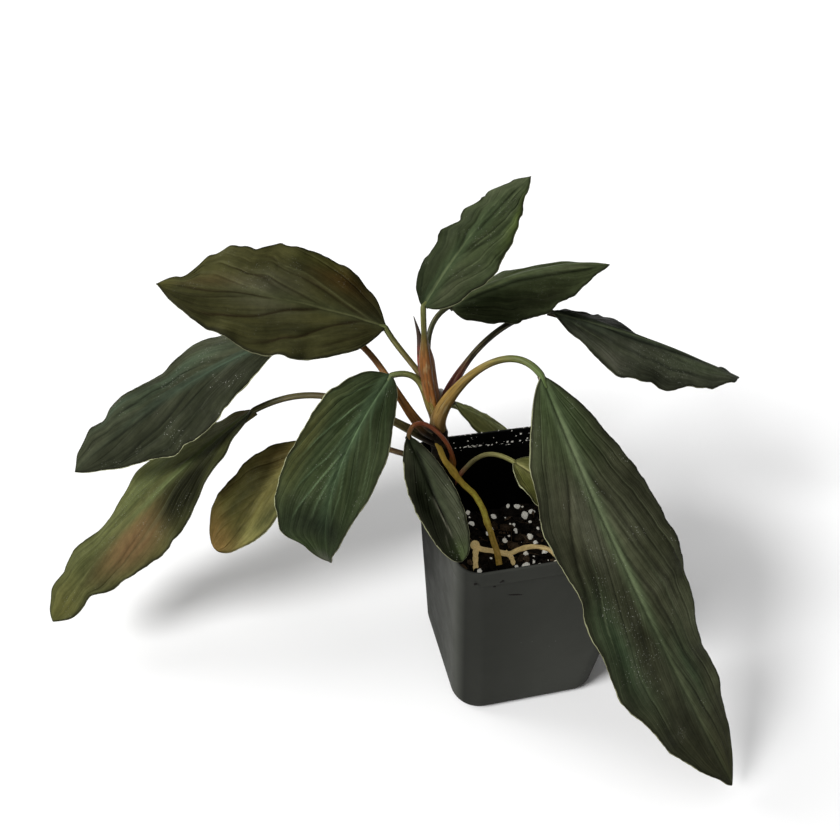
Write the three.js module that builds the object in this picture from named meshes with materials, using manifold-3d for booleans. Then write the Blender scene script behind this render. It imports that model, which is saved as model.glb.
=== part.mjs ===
// Potted platinum black homalomena: a small aroid with dark, waved, lance-shaped leaves, growing in
// a square black nursery pot. Millimetres, +Z up. The origin is the centre of the pot's flat base,
// the pot's sides lie along X and Y, and -Y is the front.
import * as THREE from 'three';
import Module from 'manifold-3d';

const wasm = await Module();
wasm.setup();

// Driving dimensions of the pot, in millimetres
const POT_HEIGHT = 84;
const RIM_HALF = 35;
const BASE_HALF = 28;
const RIM_CORNER = 8;
const BASE_CORNER = 10.5;
const WALL = 1.2;
const LIP_HEIGHT = 6.2;
const LIP_PROUD = 0.5;
const LIP_WALL = 1.6;
const FLOOR_THICKNESS = 1.5;
const FOOT_ROUND = 3.4;
const DRAIN_RADIUS = 3.5;
const DRAIN_OFFSET = 14;
const CORNER_STEPS = 5;

// Driving dimensions of the soil
const SOIL_TOP = 47.5;
const SOIL_RELIEF = 0.7;
const SOIL_RINGS = 4;
const CHUNK_COUNT = 14;
const CHUNK_REACH = 25;

// Gap kept between pieces that touch
const GAP = 0.3;

// Driving dimensions of the stem
const STEM_FOOT = 36;
const STEM_TOP = 104;
const STEM_RADIUS = 4.5;
const STEM_TOP_RADIUS = 2.4;
const SCAR_SPACING = 5.5;
const SCAR_PROUD = 0.35;
const STEM_STEPS = 36;
const STEM_SIDES = 9;

// Blade build
const BLADE_THICKNESS = 0.75;
const KEEL_DEPTH = 0.9;
const NECK_HALF_WIDTH = 1.1;
const TIP_HALF_WIDTH = 0.3;
const ACROSS = [-1, -0.72, -0.44, -0.14, 0, 0.14, 0.44, 0.72, 1];
const DEG = Math.PI / 180;

// One entry a leaf. A blade leaves its base at a heading in plan and a rise above level, and ends at
// the dip. fold is how far both halves tip up from the midrib, curl how much more at the margin.
// lobes swell the outline in its plane and ripple waves it out of its plane. The petiole runs from
// the stem at fromHeight to the blade's base, drawn by two handles, and sheathes the stem.
const LEAVES = [
  {
    name: 'front', base: [-3, -3, 136], heading: -65, turn: 24, rise: -50, dip: -56, bend: 1.6,
    length: 161, width: 48.5, roll: -7, twist: -2, fold: 6, curl: -12, shape: [0.72, 0.8],
    lobes: { count: 2.2, left: [0.1, 132], right: [0.09, 302] },
    ripple: { height: 1.1, count: 5.5, phase: 40 },
    petiole: { fromHeight: 100, handles: [[-33, 17, 113.5], [-12.5, 10.5, 148.5]], radius: 1.2,
      sheath: { radius: 2.6, from: 0.05, to: 0.7 } },
  },
  {
    name: 'right', base: [21, 52, 124], heading: -14, turn: 15, rise: -14, dip: -31, bend: 1,
    length: 91, width: 36, roll: -24, twist: 44, fold: -22, curl: -14, shape: [1.2, 1.2],
    lobes: { count: 4.2, left: [0.04, 320], right: [0.07, 312] },
    ripple: { height: 1, count: 4, phase: 200 },
    petiole: { fromHeight: 101, handles: [[-23.2, 29, 121.2], [1.5, 50.5, 125.2]], radius: 1.15,
      sheath: { radius: 2, from: 0.12, to: 0.42 } },
  },
  {
    name: 'upper_right', base: [-21, 41, 137], heading: 17, turn: -1, rise: 15, dip: -15, bend: 1,
    length: 69, width: 30, roll: -7, twist: -2, fold: -21, curl: -22, shape: [0.56, 0.85],
    lobes: { count: 3.7, left: [0.01, 0], right: [0.03, 340] },
    ripple: { height: 0.7, count: 3.5, phase: 90 },
    petiole: { fromHeight: 108, handles: [[-30.5, 27, 119], [-34.5, 36.5, 133.5]], radius: 0.95,
      sheath: { radius: 1.3, from: 0.1, to: 0.4 } },
  },
  {
    name: 'top', base: [-34, 28, 146], heading: 32, turn: 8, rise: 48, dip: 4, bend: 1,
    length: 64, width: 27, roll: 7, twist: -12, fold: -6, curl: -15, shape: [0.47, 0.96],
    lobes: { count: 4.4, left: [0.03, 150], right: [0.06, 350] },
    ripple: { height: 0.8, count: 3.5, phase: 20 },
    petiole: { fromHeight: 103, handles: [[-32, 24, 114], [-35, 22.5, 137]], radius: 1,
      sheath: { radius: 2.7, from: 0.5, to: 0.8 } },
  },
  {
    name: 'upper_left', base: [-43, 44, 129], heading: 165, turn: -14, rise: 19, dip: -9, bend: 1,
    length: 83, width: 48, roll: 18, twist: 5, fold: 8, curl: -12, shape: [0.75, 1.06],
    lobes: { count: 3.4, left: [0.03, 210], right: [0.04, 282] },
    ripple: { height: 0.9, count: 4.5, phase: 130 },
    petiole: { fromHeight: 108, handles: [[-30, 25, 117.5], [-39.5, 39.5, 121.5]], radius: 1.05,
      sheath: { radius: 1.6, from: 0.1, to: 0.5 } },
  },
  {
    name: 'left', base: [-74, 61, 119], heading: 160, turn: 36, rise: -29, dip: -37, bend: 1.2,
    length: 102, width: 46, roll: 4, twist: 13, fold: -2, curl: -16, shape: [0.87, 0.87],
    lobes: { count: 1.6, left: [0.06, 160], right: [0.15, 266] },
    ripple: { height: 1, count: 4.5, phase: 10 },
    petiole: { fromHeight: 97, handles: [[-44, 17, 102], [-42, 57, 133]], radius: 1.15,
      sheath: { radius: 1.9, from: 0.05, to: 0.45 } },
  },
  {
    name: 'lower_left', base: [-90, 56, 90], heading: 172, turn: 53, rise: -41, dip: -31, bend: 1.2,
    length: 112, width: 48.5, roll: -10, twist: 2, fold: 0, curl: -7, shape: [0.74, 0.83],
    lobes: { count: 1.6, left: [0.11, 162], right: [0.24, 255] },
    ripple: { height: 1.1, count: 4.5, phase: 300 },
    petiole: { fromHeight: 93, handles: [[-46, 21, 104], [-60, 59, 103]], radius: 1.2,
      sheath: { radius: 1.7, from: 0.05, to: 0.4 } },
  },
  {
    name: 'small_left', base: [-62, 51, 75], heading: 189, turn: 3, rise: -23, dip: -54, bend: 1,
    length: 64, width: 31, roll: 5, twist: 6, fold: 4, curl: -2, shape: [0.72, 0.57],
    lobes: { count: 2.8, left: [0.01, 340], right: [0.01, 10] },
    ripple: { height: 0.6, count: 3, phase: 60 },
    petiole: { fromHeight: 86, handles: [[-38, 17, 88.5], [-50, 48, 79]], radius: 1.05,
      sheath: { radius: 1.3, from: 0.05, to: 0.35 } },
  },
  {
    name: 'centre', base: [-44, 29, 119], heading: 218, turn: -1, rise: -31, dip: -106, bend: 1.3,
    length: 79, width: 38.5, roll: 20, twist: -15, fold: 24, curl: 15, shape: [0.7, 0.85],
    lobes: { count: 1.6, left: [0.13, 225], right: [0.1, 48] },
    ripple: { height: 0.6, count: 3.5, phase: 250 },
    petiole: { fromHeight: 104, handles: [[-33, 20.5, 112], [-32, 28, 122.5]], radius: 1.1,
      sheath: { radius: 2.3, from: 0.2, to: 0.75 } },
  },
  {
    name: 'rim', base: [-42, 10, 107], heading: 276, turn: 11, rise: -9, dip: -39, bend: 1,
    length: 47, width: 16, roll: 3, twist: 2, fold: 3, curl: -3, shape: [0.71, 0.51],
    lobes: { count: 3, left: [0.02, 110], right: [0.02, 180] },
    ripple: { height: 0.3, count: 2.5, phase: 0 },
    petiole: { fromHeight: 78, handles: [[-16, 13, 90], [-37, 22.5, 114]], radius: 0.95,
      sheath: { radius: 1.6, from: 0.1, to: 0.35 } },
  },
  {
    name: 'inner', base: [1, 19, 81], heading: -43, turn: -2, rise: -11, dip: -49, bend: 1,
    length: 32, width: 21, roll: -4, twist: -2, fold: 4, curl: -1, shape: [0.61, 0.7],
    lobes: { count: 3, left: [0.01, 0], right: [0.01, 0] },
    ripple: { height: 0.4, count: 2.5, phase: 120 },
    petiole: { fromHeight: 70, handles: [[-17, 19, 79.5], [-11, 29, 85.5]], radius: 0.9,
      sheath: { radius: 1.4, from: 0.1, to: 0.3 } },
  },
  {
    name: 'back', base: [-13, 53, 85], heading: 4, turn: -1, rise: -35, dip: -50, bend: 1,
    length: 50, width: 22, roll: -1, twist: -8, fold: -9, curl: -13, shape: [0.68, 0.8],
    lobes: { count: 3, left: [0.01, 0], right: [0.01, 20] },
    ripple: { height: 0.5, count: 3, phase: 75 },
    petiole: { fromHeight: 104, handles: [[-25.5, 27, 116], [-22, 52, 94]], radius: 1.1,
      sheath: { radius: 1.6, from: 0.1, to: 0.4 } },
  },
];

// The roots and the rolled new leaf, as points on their centre lines
const PROP_ROOT = [
  [-29, 19, 95], [-27.5, 14.5, 91], [-24.5, 13.8, 86], [-20.2, 13.6, 79], [-16, 13, 74],
  [-12.6, 11.4, 68], [-10.8, 8.2, 62], [-9, 5.4, 56], [-7.6, 1.6, 50], [-7, -2.5, 41],
];
const PROP_ROOT_RADIUS = 1.3;
const SURFACE_ROOT = [
  [-14, 10.6, 48.6], [-12.4, 8.2, 49], [-7.7, 6.4, 48.9], [-2.6, 4.8, 48.7], [2, 6.4, 49],
  [7.6, 6.9, 49.2], [13.2, 4.3, 48.6], [16.4, -0.6, 46.5],
];
const ROOT_BRANCH = [[-3.6, 5, 48.6], [-2.2, 2.6, 48.4], [-1.6, -0.4, 46.6]];
const SHORT_ROOT = [[-13.8, 9.6, 48.8], [-15.2, 5.6, 49], [-16.4, 1.4, 48.8], [-17, -2.4, 46.4]];
const ROOT_KNOB = { centre: [-14, 10.4, 49.2], radius: 1.9 };
const SURFACE_ROOT_RADIUS = 1.05;
const NEW_LEAF = [[-31.6, 24.6, 113], [-33, 30, 121.5], [-33, 35.6, 130], [-34, 40, 135]];
const NEW_LEAF_RADIUS = 1.2;
// Root nubs on the stem: height, direction round it and size
const NUBS = [
  { z: 80, angle: 200, size: 2.2 },
  { z: 84, angle: 320, size: 2 },
  { z: 74, angle: 250, size: 2.4 },
  { z: 67, angle: 160, size: 2.2 },
  { z: 61, angle: 290, size: 2 },
];
const NUB_DROOP = 0.4;

const point = ([x, y, z]) => new THREE.Vector3(x, y, z);
const smooth = (low, high, x) => THREE.MathUtils.smoothstep(x, low, high);

// A repeatable random number between 0 and 1
function seededRandom(seed) {
  let state = seed;
  return () => {
    state = (state * 1664525 + 1013904223) % 4294967296;
    return state / 4294967296;
  };
}

function buildGeometry(positions, triangles) {
  const geometry = new THREE.BufferGeometry();
  geometry.setAttribute('position', new THREE.Float32BufferAttribute(positions, 3));
  geometry.setIndex(triangles);
  return geometry;
}

// A closed body through rings of points that run anticlockwise as seen from its end
function loft(rings) {
  const count = rings[0].length;
  const positions = rings.flat().flatMap((p) => [p.x, p.y, p.z]);
  const triangles = [];
  for (let i = 0; i + 1 < rings.length; i += 1) {
    for (let j = 0; j < count; j += 1) {
      const next = (j + 1) % count;
      const a = i * count + j;
      const b = i * count + next;
      triangles.push(a, b, b + count);
      triangles.push(a, b + count, a + count);
    }
  }
  const addCap = (ring, start, flip) => {
    const centre = new THREE.Vector3();
    ring.forEach((p) => centre.addScaledVector(p, 1 / count));
    const middle = positions.length / 3;
    positions.push(centre.x, centre.y, centre.z);
    for (let j = 0; j < count; j += 1) {
      const a = start + j;
      const b = start + ((j + 1) % count);
      triangles.push(middle, flip ? b : a, flip ? a : b);
    }
  };
  addCap(rings[0], 0, true);
  addCap(rings.at(-1), (rings.length - 1) * count, false);
  return buildGeometry(positions, triangles);
}

// A closed thin body between two grids of points, split alike on both faces
function sheet(top, bottom) {
  const rows = top.length;
  const columns = top[0].length;
  const positions = [...top.flat(), ...bottom.flat()].flatMap((p) => [p.x, p.y, p.z]);
  const under = rows * columns;
  const at = (i, j) => i * columns + j;
  const triangles = [];
  for (let i = 0; i + 1 < rows; i += 1) {
    for (let j = 0; j + 1 < columns; j += 1) {
      const [a, b, c, d] = [at(i, j), at(i + 1, j), at(i + 1, j + 1), at(i, j + 1)];
      triangles.push(a, c, b, a, d, c);
      triangles.push(under + a, under + b, under + c, under + a, under + c, under + d);
    }
  }
  const border = [];
  for (let i = 0; i < rows - 1; i += 1) border.push(at(i, 0));
  for (let j = 0; j < columns - 1; j += 1) border.push(at(rows - 1, j));
  for (let i = rows - 1; i > 0; i -= 1) border.push(at(i, columns - 1));
  for (let j = columns - 1; j > 0; j -= 1) border.push(at(0, j));
  border.forEach((a, k) => {
    const b = border[(k + 1) % border.length];
    triangles.push(a, b, under + b, a, under + b, under + a);
  });
  return buildGeometry(positions, triangles);
}

function solid(geometry) {
  return new wasm.Manifold(new wasm.Mesh({
    numProp: 3,
    vertProperties: new Float32Array(geometry.attributes.position.array),
    triVerts: new Uint32Array(geometry.index.array),
  }));
}

function geometryOf(manifold) {
  const mesh = manifold.getMesh();
  return buildGeometry(Array.from(mesh.vertProperties), Array.from(mesh.triVerts));
}

function largestPiece(manifold) {
  return manifold.decompose().reduce((best, piece) => (piece.volume() > best.volume() ? piece : best));
}

// Welds a three.js primitive's corners so that it closes
function weldedSolid(geometry) {
  const source = geometry.index ? geometry.toNonIndexed() : geometry;
  const place = source.attributes.position;
  const seen = new Map();
  const positions = [];
  const triangles = [];
  for (let i = 0; i < place.count; i += 1) {
    const p = [place.getX(i), place.getY(i), place.getZ(i)];
    const key = p.map((value) => value.toFixed(4)).join(' ');
    if (!seen.has(key)) {
      seen.set(key, positions.length / 3);
      positions.push(...p);
    }
    triangles.push(seen.get(key));
  }
  const kept = [];
  for (let i = 0; i < triangles.length; i += 3) {
    const [a, b, c] = triangles.slice(i, i + 3);
    if (a !== b && b !== c && c !== a) kept.push(a, b, c);
  }
  return solid(buildGeometry(positions, kept));
}

// Pot and soil: rings of a square with round corners
function squareRing(half, corner, z) {
  const ring = [];
  const inset = half - corner;
  for (let side = 0; side < 4; side += 1) {
    const start = side * 90 * DEG;
    const middle = start + 45 * DEG;
    const centreX = Math.sign(Math.cos(middle)) * inset;
    const centreY = Math.sign(Math.sin(middle)) * inset;
    for (let step = 0; step <= CORNER_STEPS; step += 1) {
      const angle = start + (step / CORNER_STEPS) * 90 * DEG;
      const x = centreX + corner * Math.cos(angle);
      const y = centreY + corner * Math.sin(angle);
      ring.push(new THREE.Vector3(x, y, z));
    }
  }
  return ring;
}

const wallHalf = (z) => THREE.MathUtils.lerp(BASE_HALF, RIM_HALF - LIP_PROUD, z / POT_HEIGHT);
const wallCorner = (z) => THREE.MathUtils.lerp(BASE_CORNER, RIM_CORNER, z / POT_HEIGHT);

// A ring of the pot's wall at a height, moved in by a distance
function wallRing(z, inset) {
  return squareRing(wallHalf(z) - inset, wallCorner(z) - inset, z);
}

function makePot() {
  const lipFoot = POT_HEIGHT - LIP_HEIGHT;
  const outside = [];
  for (const share of [0, 0.3, 0.7, 1]) {
    const angle = share * 90 * DEG;
    outside.push(wallRing(FOOT_ROUND * (1 - Math.cos(angle)), FOOT_ROUND * (1 - Math.sin(angle))));
  }
  outside.push(wallRing(lipFoot - 0.4, 0));
  outside.push(wallRing(lipFoot, -LIP_PROUD));
  outside.push(wallRing(POT_HEIGHT - 0.4, -LIP_PROUD));
  outside.push(wallRing(POT_HEIGHT, -LIP_PROUD + 0.4));
  const inside = [
    wallRing(FLOOR_THICKNESS, WALL + FOOT_ROUND * 0.6),
    wallRing(FLOOR_THICKNESS + FOOT_ROUND * 0.6, WALL),
    wallRing(lipFoot - 0.8, WALL),
    wallRing(lipFoot - 0.2, LIP_WALL - LIP_PROUD - 0.4),
    wallRing(POT_HEIGHT - 0.4, LIP_WALL - LIP_PROUD - 0.4),
    wallRing(POT_HEIGHT + 0.4, LIP_WALL - LIP_PROUD - 0.8),
  ];
  let pot = solid(loft(outside)).subtract(solid(loft(inside)));
  for (const x of [-DRAIN_OFFSET, DRAIN_OFFSET]) {
    for (const y of [-DRAIN_OFFSET, DRAIN_OFFSET]) {
      const drill = new THREE.CylinderGeometry(DRAIN_RADIUS, DRAIN_RADIUS, 6, 16);
      drill.rotateX(Math.PI / 2).translate(x, y, 0);
      pot = pot.subtract(weldedSolid(drill));
    }
  }
  return pot;
}

const soilRelief = (x, y) => SOIL_RELIEF
  * (Math.sin(x * 0.41 + 1.3) * Math.cos(y * 0.37) + 0.6 * Math.sin(x * 0.83 - y * 0.71));

function makeSoil() {
  const inset = WALL + GAP;
  const rings = [
    wallRing(FLOOR_THICKNESS + GAP, inset + FOOT_ROUND * 0.6),
    wallRing(FLOOR_THICKNESS + GAP + FOOT_ROUND * 0.6, inset),
    wallRing(SOIL_TOP - 2, inset),
  ];
  for (let i = 0; i < SOIL_RINGS; i += 1) {
    const share = 1 - i / SOIL_RINGS;
    const ring = wallRing(SOIL_TOP, inset + 0.2).map((p) => p.multiply(new THREE.Vector3(share, share, 1)));
    rings.push(ring.map((p) => p.setZ(SOIL_TOP + soilRelief(p.x, p.y) - (i === 0 ? 0.8 : 0))));
  }
  let soil = solid(loft(rings));
  const random = seededRandom(20);
  for (let i = 0; i < CHUNK_COUNT; i += 1) {
    const size = 1.3 + 1.5 * random();
    const chunk = new THREE.IcosahedronGeometry(size, 0);
    chunk.scale(1.3, 0.9, 0.6).rotateZ(Math.PI * random());
    const x = CHUNK_REACH * (2 * random() - 1);
    const y = CHUNK_REACH * (2 * random() - 1);
    chunk.translate(x, y, SOIL_TOP + soilRelief(x, y) + 0.1);
    soil = soil.add(weldedSolid(chunk));
  }
  return soil;
}

// The stem's centre line leans a little towards -X as it rises
function stemCentre(z) {
  const share = THREE.MathUtils.clamp((z - SOIL_TOP) / 62, 0, 1);
  return new THREE.Vector3(-22 - 7 * share ** 0.8, 18.5 + 2.5 * share, z);
}

function stemRadius(z) {
  const taper = smooth(78, STEM_TOP, z);
  const scar = Math.cos((2 * Math.PI * z) / SCAR_SPACING) ** 8;
  return THREE.MathUtils.lerp(STEM_RADIUS, STEM_TOP_RADIUS, taper) + SCAR_PROUD * scar;
}

function makeStem(grow) {
  const rings = [];
  for (let i = 0; i <= STEM_STEPS; i += 1) {
    const z = THREE.MathUtils.lerp(STEM_FOOT - grow, STEM_TOP + grow, i / STEM_STEPS);
    const centre = stemCentre(z);
    const ring = [];
    for (let k = 0; k < STEM_SIDES; k += 1) {
      const angle = (k / STEM_SIDES) * 360 * DEG;
      const radius = stemRadius(z) + grow;
      ring.push(new THREE.Vector3(Math.cos(angle), Math.sin(angle), 0).multiplyScalar(radius).add(centre));
    }
    rings.push(ring);
  }
  let stem = solid(loft(rings));
  for (const { z, angle, size } of NUBS) {
    const nub = new THREE.ConeGeometry(size / 2 + grow, size * 2 + grow, 6);
    nub.rotateX(Math.PI / 2).rotateX(NUB_DROOP).rotateZ((angle + 90) * DEG);
    const foot = stemCentre(z);
    const reach = STEM_RADIUS - 0.2;
    nub.translate(foot.x + reach * Math.cos(angle * DEG), foot.y + reach * Math.sin(angle * DEG), z);
    stem = stem.add(weldedSolid(nub));
  }
  return stem;
}

// A closed tube along a curve whose radius is a function of the share of its length
function taperedTube(curve, radiusAt, steps, sides) {
  const frames = curve.computeFrenetFrames(steps, false);
  const rings = [];
  for (let i = 0; i <= steps; i += 1) {
    const share = i / steps;
    const centre = curve.getPointAt(share);
    const ring = [];
    for (let k = 0; k < sides; k += 1) {
      const angle = (k / sides) * 2 * Math.PI;
      const out = frames.normals[i].clone().multiplyScalar(Math.cos(angle));
      out.addScaledVector(frames.binormals[i], Math.sin(angle));
      ring.push(out.multiplyScalar(radiusAt(share)).add(centre));
    }
    rings.push(ring);
  }
  return solid(loft(rings));
}

function petioleCurve(leaf) {
  const start = stemCentre(leaf.petiole.fromHeight);
  const [first, second] = leaf.petiole.handles.map(point);
  return new THREE.CubicBezierCurve3(start, first, second, point(leaf.base));
}

// A block just beyond the face where the blade starts, which trims the petiole's end flat
function bladeStartBlock(leaf) {
  const size = 5;
  const block = new THREE.BoxGeometry(size, size, size);
  block.translate(size / 2 - GAP, 0, 0).rotateY(-leaf.rise * DEG).rotateZ(leaf.heading * DEG);
  return weldedSolid(block.translate(...leaf.base));
}

function makePetiole(leaf, grow) {
  const { radius, sheath } = leaf.petiole;
  const radiusAt = (share) => {
    const bare = smooth(sheath.from, sheath.to, share);
    return THREE.MathUtils.lerp(sheath.radius, radius, bare) + grow;
  };
  const whole = taperedTube(petioleCurve(leaf), radiusAt, 13, 7);
  return whole.subtract(bladeStartBlock(leaf));
}

function rootCurve(points) {
  return new THREE.CatmullRomCurve3(points.map(point));
}

function makePropRoot(grow) {
  const radiusAt = (share) => PROP_ROOT_RADIUS * (0.85 + 0.2 * share) + grow;
  return taperedTube(rootCurve(PROP_ROOT), radiusAt, 24, 8);
}

function makeSurfaceRoots(grow) {
  const radiusAt = (share) => SURFACE_ROOT_RADIUS * (1.05 - 0.2 * share) + grow;
  const knob = new THREE.IcosahedronGeometry(ROOT_KNOB.radius + grow, 1);
  knob.translate(...ROOT_KNOB.centre);
  return weldedSolid(knob)
    .add(taperedTube(rootCurve(SURFACE_ROOT), radiusAt, 18, 6))
    .add(taperedTube(rootCurve(ROOT_BRANCH), radiusAt, 5, 6))
    .add(taperedTube(rootCurve(SHORT_ROOT), radiusAt, 8, 6));
}

function makeNewLeaf(grow) {
  const radiusAt = (share) => NEW_LEAF_RADIUS * (1 - share ** 1.5) + 0.15 + grow;
  return taperedTube(rootCurve(NEW_LEAF), radiusAt, 8, 8);
}

// The outline's half width at a share of the length, on one side
function halfWidth(leaf, share, side) {
  const [rise, fall] = leaf.shape;
  const widest = rise / (rise + fall);
  const peak = widest ** rise * (1 - widest) ** fall;
  const plain = (share ** rise * (1 - share) ** fall) / peak;
  const [swell, phase] = side > 0 ? leaf.lobes.right : leaf.lobes.left;
  const lobe = swell * Math.sin(2 * Math.PI * leaf.lobes.count * share + phase * DEG);
  const width = (leaf.width / 2) * plain * (1 + lobe * Math.min(1, 6 * share * (1 - share)));
  return Math.max(width, NECK_HALF_WIDTH * (1 - share) ** 4, TIP_HALF_WIDTH);
}

// Midrib points and frames along a blade, with its base at the origin and its heading along +X
function midrib(leaf, steps) {
  const stations = [];
  const fine = 8;
  const place = new THREE.Vector3();
  for (let i = 0; i <= steps * fine; i += 1) {
    const share = i / (steps * fine);
    const yaw = leaf.turn * share * DEG;
    const pitch = THREE.MathUtils.lerp(leaf.rise, leaf.dip, share ** leaf.bend) * DEG;
    const roll = (leaf.roll + leaf.twist * share) * DEG;
    const ahead = new THREE.Vector3(Math.cos(yaw), Math.sin(yaw), 0).multiplyScalar(Math.cos(pitch));
    ahead.z = Math.sin(pitch);
    const level = new THREE.Vector3(Math.sin(yaw), -Math.cos(yaw), 0);
    const above = level.clone().cross(ahead);
    const right = level.clone().multiplyScalar(Math.cos(roll)).addScaledVector(above, Math.sin(roll));
    const up = above.clone().multiplyScalar(Math.cos(roll)).addScaledVector(level, -Math.sin(roll));
    if (i % fine === 0) stations.push({ share, place: place.clone(), right, up });
    place.addScaledVector(ahead, leaf.length / (steps * fine));
  }
  return stations;
}

function makeBlade(leaf) {
  const steps = Math.round(leaf.length / 7.5 + 6);
  const { height, count, phase } = leaf.ripple;
  const top = [];
  const bottom = [];
  for (const { share, place, right, up } of midrib(leaf, steps)) {
    const topRow = [];
    const bottomRow = [];
    for (const across of ACROSS) {
      const side = Math.sign(across);
      const reach = Math.abs(across);
      const width = reach * halfWidth(leaf, share, side);
      const tilt = (leaf.fold + (leaf.curl * reach) / 2) * DEG;
      const turns = 2 * Math.PI * count * share + side * phase * DEG;
      const uneven = Math.sin(turns) + 0.5 * Math.sin(1.7 * turns + 1);
      const wave = height * reach ** 3 * uneven * Math.min(1, 6 * share * (1 - share));
      const middle = place.clone()
        .addScaledVector(right, side * width * Math.cos(tilt))
        .addScaledVector(up, width * Math.sin(tilt) + wave);
      const face = up.clone().multiplyScalar(Math.cos(tilt)).addScaledVector(right, -side * Math.sin(tilt));
      const keel = across === 0 ? KEEL_DEPTH * (1 - share) + 0.1 : 0;
      topRow.push(middle.clone().addScaledVector(face, BLADE_THICKNESS / 2));
      bottomRow.push(middle.clone().addScaledVector(face, -BLADE_THICKNESS / 2 - keel));
    }
    top.push(topRow);
    bottom.push(bottomRow);
  }
  return sheet(top, bottom);
}

function material(colour, roughness) {
  return new THREE.MeshStandardMaterial({ color: colour, roughness, metalness: 0 });
}

const MATERIALS = {
  pot: material(0x2b2c2a, 0.45),
  soil: material(0x1d1611, 0.95),
  stem: material(0x2a221a, 0.8),
  greenRoot: material(0x8a8a2c, 0.6),
  paleRoot: material(0xb9a468, 0.75),
  petiole: material(0x8a5a2c, 0.5),
  newLeaf: material(0x5a2c22, 0.5),
  blade: material(0x243324, 0.5),
};

function mesh(name, geometry, surface) {
  const piece = new THREE.Mesh(geometry, surface);
  piece.name = name;
  return piece;
}

// Pieces that grow out of the crowded crown are cut clear of every piece listed before them
const stem = makeStem(0);
const clearings = [makeStem(GAP)];
const plant = new THREE.Group();
const clasping = ['top', 'front', 'centre', 'right', 'upper_left', 'upper_right', 'back', 'left',
  'lower_left', 'small_left', 'rim', 'inner'];

function cutClear(piece, clearing) {
  const cut = clearings.reduce((left, other) => left.subtract(other), piece);
  clearings.push(clearing);
  return geometryOf(largestPiece(cut));
}

plant.add(mesh('stem', geometryOf(stem), MATERIALS.stem));
for (const name of clasping) {
  const leaf = LEAVES.find((entry) => entry.name === name);
  const leafGroup = new THREE.Group();
  const petiole = cutClear(makePetiole(leaf, 0), makePetiole(leaf, GAP));
  leafGroup.add(mesh(`${name}_petiole`, petiole, MATERIALS.petiole));
  const blade = mesh(`${name}_blade`, makeBlade(leaf), MATERIALS.blade);
  blade.position.set(...leaf.base);
  blade.rotation.z = leaf.heading * DEG;
  leafGroup.add(blade);
  plant.add(leafGroup);
}
plant.add(mesh('new_leaf', cutClear(makeNewLeaf(0), makeNewLeaf(GAP)), MATERIALS.newLeaf));
plant.add(mesh('prop_root', cutClear(makePropRoot(0), makePropRoot(GAP)), MATERIALS.greenRoot));
plant.add(mesh('surface_roots', geometryOf(makeSurfaceRoots(0)), MATERIALS.paleRoot));

const soil = makeSoil()
  .subtract(makeStem(GAP))
  .subtract(makePropRoot(GAP))
  .subtract(makeSurfaceRoots(GAP));

const potted = new THREE.Group();
potted.add(mesh('pot', geometryOf(makePot()), MATERIALS.pot));
potted.add(mesh('soil', geometryOf(largestPiece(soil)), MATERIALS.soil));
potted.add(plant);

export default potted;
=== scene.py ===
import math
import random
from types import SimpleNamespace

import bmesh
import bpy
import numpy as np
from mathutils import Matrix, Vector


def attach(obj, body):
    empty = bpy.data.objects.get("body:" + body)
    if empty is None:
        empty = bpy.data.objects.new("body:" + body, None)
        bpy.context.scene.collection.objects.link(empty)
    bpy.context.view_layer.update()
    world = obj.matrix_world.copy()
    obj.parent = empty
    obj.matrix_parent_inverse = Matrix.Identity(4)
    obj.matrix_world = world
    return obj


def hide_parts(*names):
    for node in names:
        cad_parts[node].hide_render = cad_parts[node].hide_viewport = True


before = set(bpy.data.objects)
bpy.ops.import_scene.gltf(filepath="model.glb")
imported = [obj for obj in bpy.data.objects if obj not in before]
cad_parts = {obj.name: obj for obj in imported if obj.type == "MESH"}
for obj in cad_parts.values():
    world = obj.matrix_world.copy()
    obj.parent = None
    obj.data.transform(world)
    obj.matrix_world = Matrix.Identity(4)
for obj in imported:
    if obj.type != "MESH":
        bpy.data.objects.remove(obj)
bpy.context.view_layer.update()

MM = 0.001
TURN = 2 * math.pi

# The camera: where it stands in metres, which way it looks in degrees, and its lens
CAMERA_PLACE = (-0.10314, -0.22428, 0.30433)
CAMERA_HEADING = 15.49
CAMERA_DIP = 38.13
CAMERA_ROLL = 2.86
CAMERA_LENS = 40
CAMERA_SENSOR = 36

# Light: two broad soft suns from the left and a weak one from above, as (heading, height, strength,
# spread), a sky that is bright to the left and dim at the back, and a wide white floor
SUNS = {"key_sun": (19, 35, 3.75, 22), "side_sun": (-33, 36, 1.35, 32), "top_sun": (40, 80, 0.2, 50)}
SKY_BRIGHT_WAY = (-0.70, -0.35, 0.62)
SKY_LOW = 0.06
SKY_HIGH = 0.42
FLOOR_HALF = 6000
FLOOR_WHITE = (0.9, 0.9, 0.9)
FLOOR_LIGHT = (0.905, 0.905, 0.905)

# The pot
POT_HEIGHT = 84
BASE_HALF = 28
WALL_TOP_HALF = 34.5
BASE_CORNER = 10.5
RIM_CORNER = 8
WALL = 1.2
LIP_HEIGHT = 6.2
LIP_PROUD = 0.3
LIP_WALL = 1.6
LIP_LEDGE = 0.45
FLOOR_THICKNESS = 1.5
FOOT_ROUND = 3.4
DRAIN_RADIUS = 3.5
DRAIN_OFFSET = 14
POT_CORNER_STEPS = 12
POT_SIDE_STEPS = 14
POT_SHARP = 40
# Painted light and shade on the plastic: how dark it is painted on its two hidden sides, and how light round
# the other two from the back of the left wall over the front left corner (0.5) to the right end of the
# front, with a painted highlight on the front of the left wall and painted shade at the corner itself
BACK_SHADE = 0.6
WALL_LIGHT_AND_SHADE = [(0.0, 0.2), (0.22, 0.42), (0.34, 0.7), (0.44, 0.93), (0.5, 0.38), (0.58, 0.62),
              (0.8, 0.9), (1.0, 1.0)]

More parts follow.
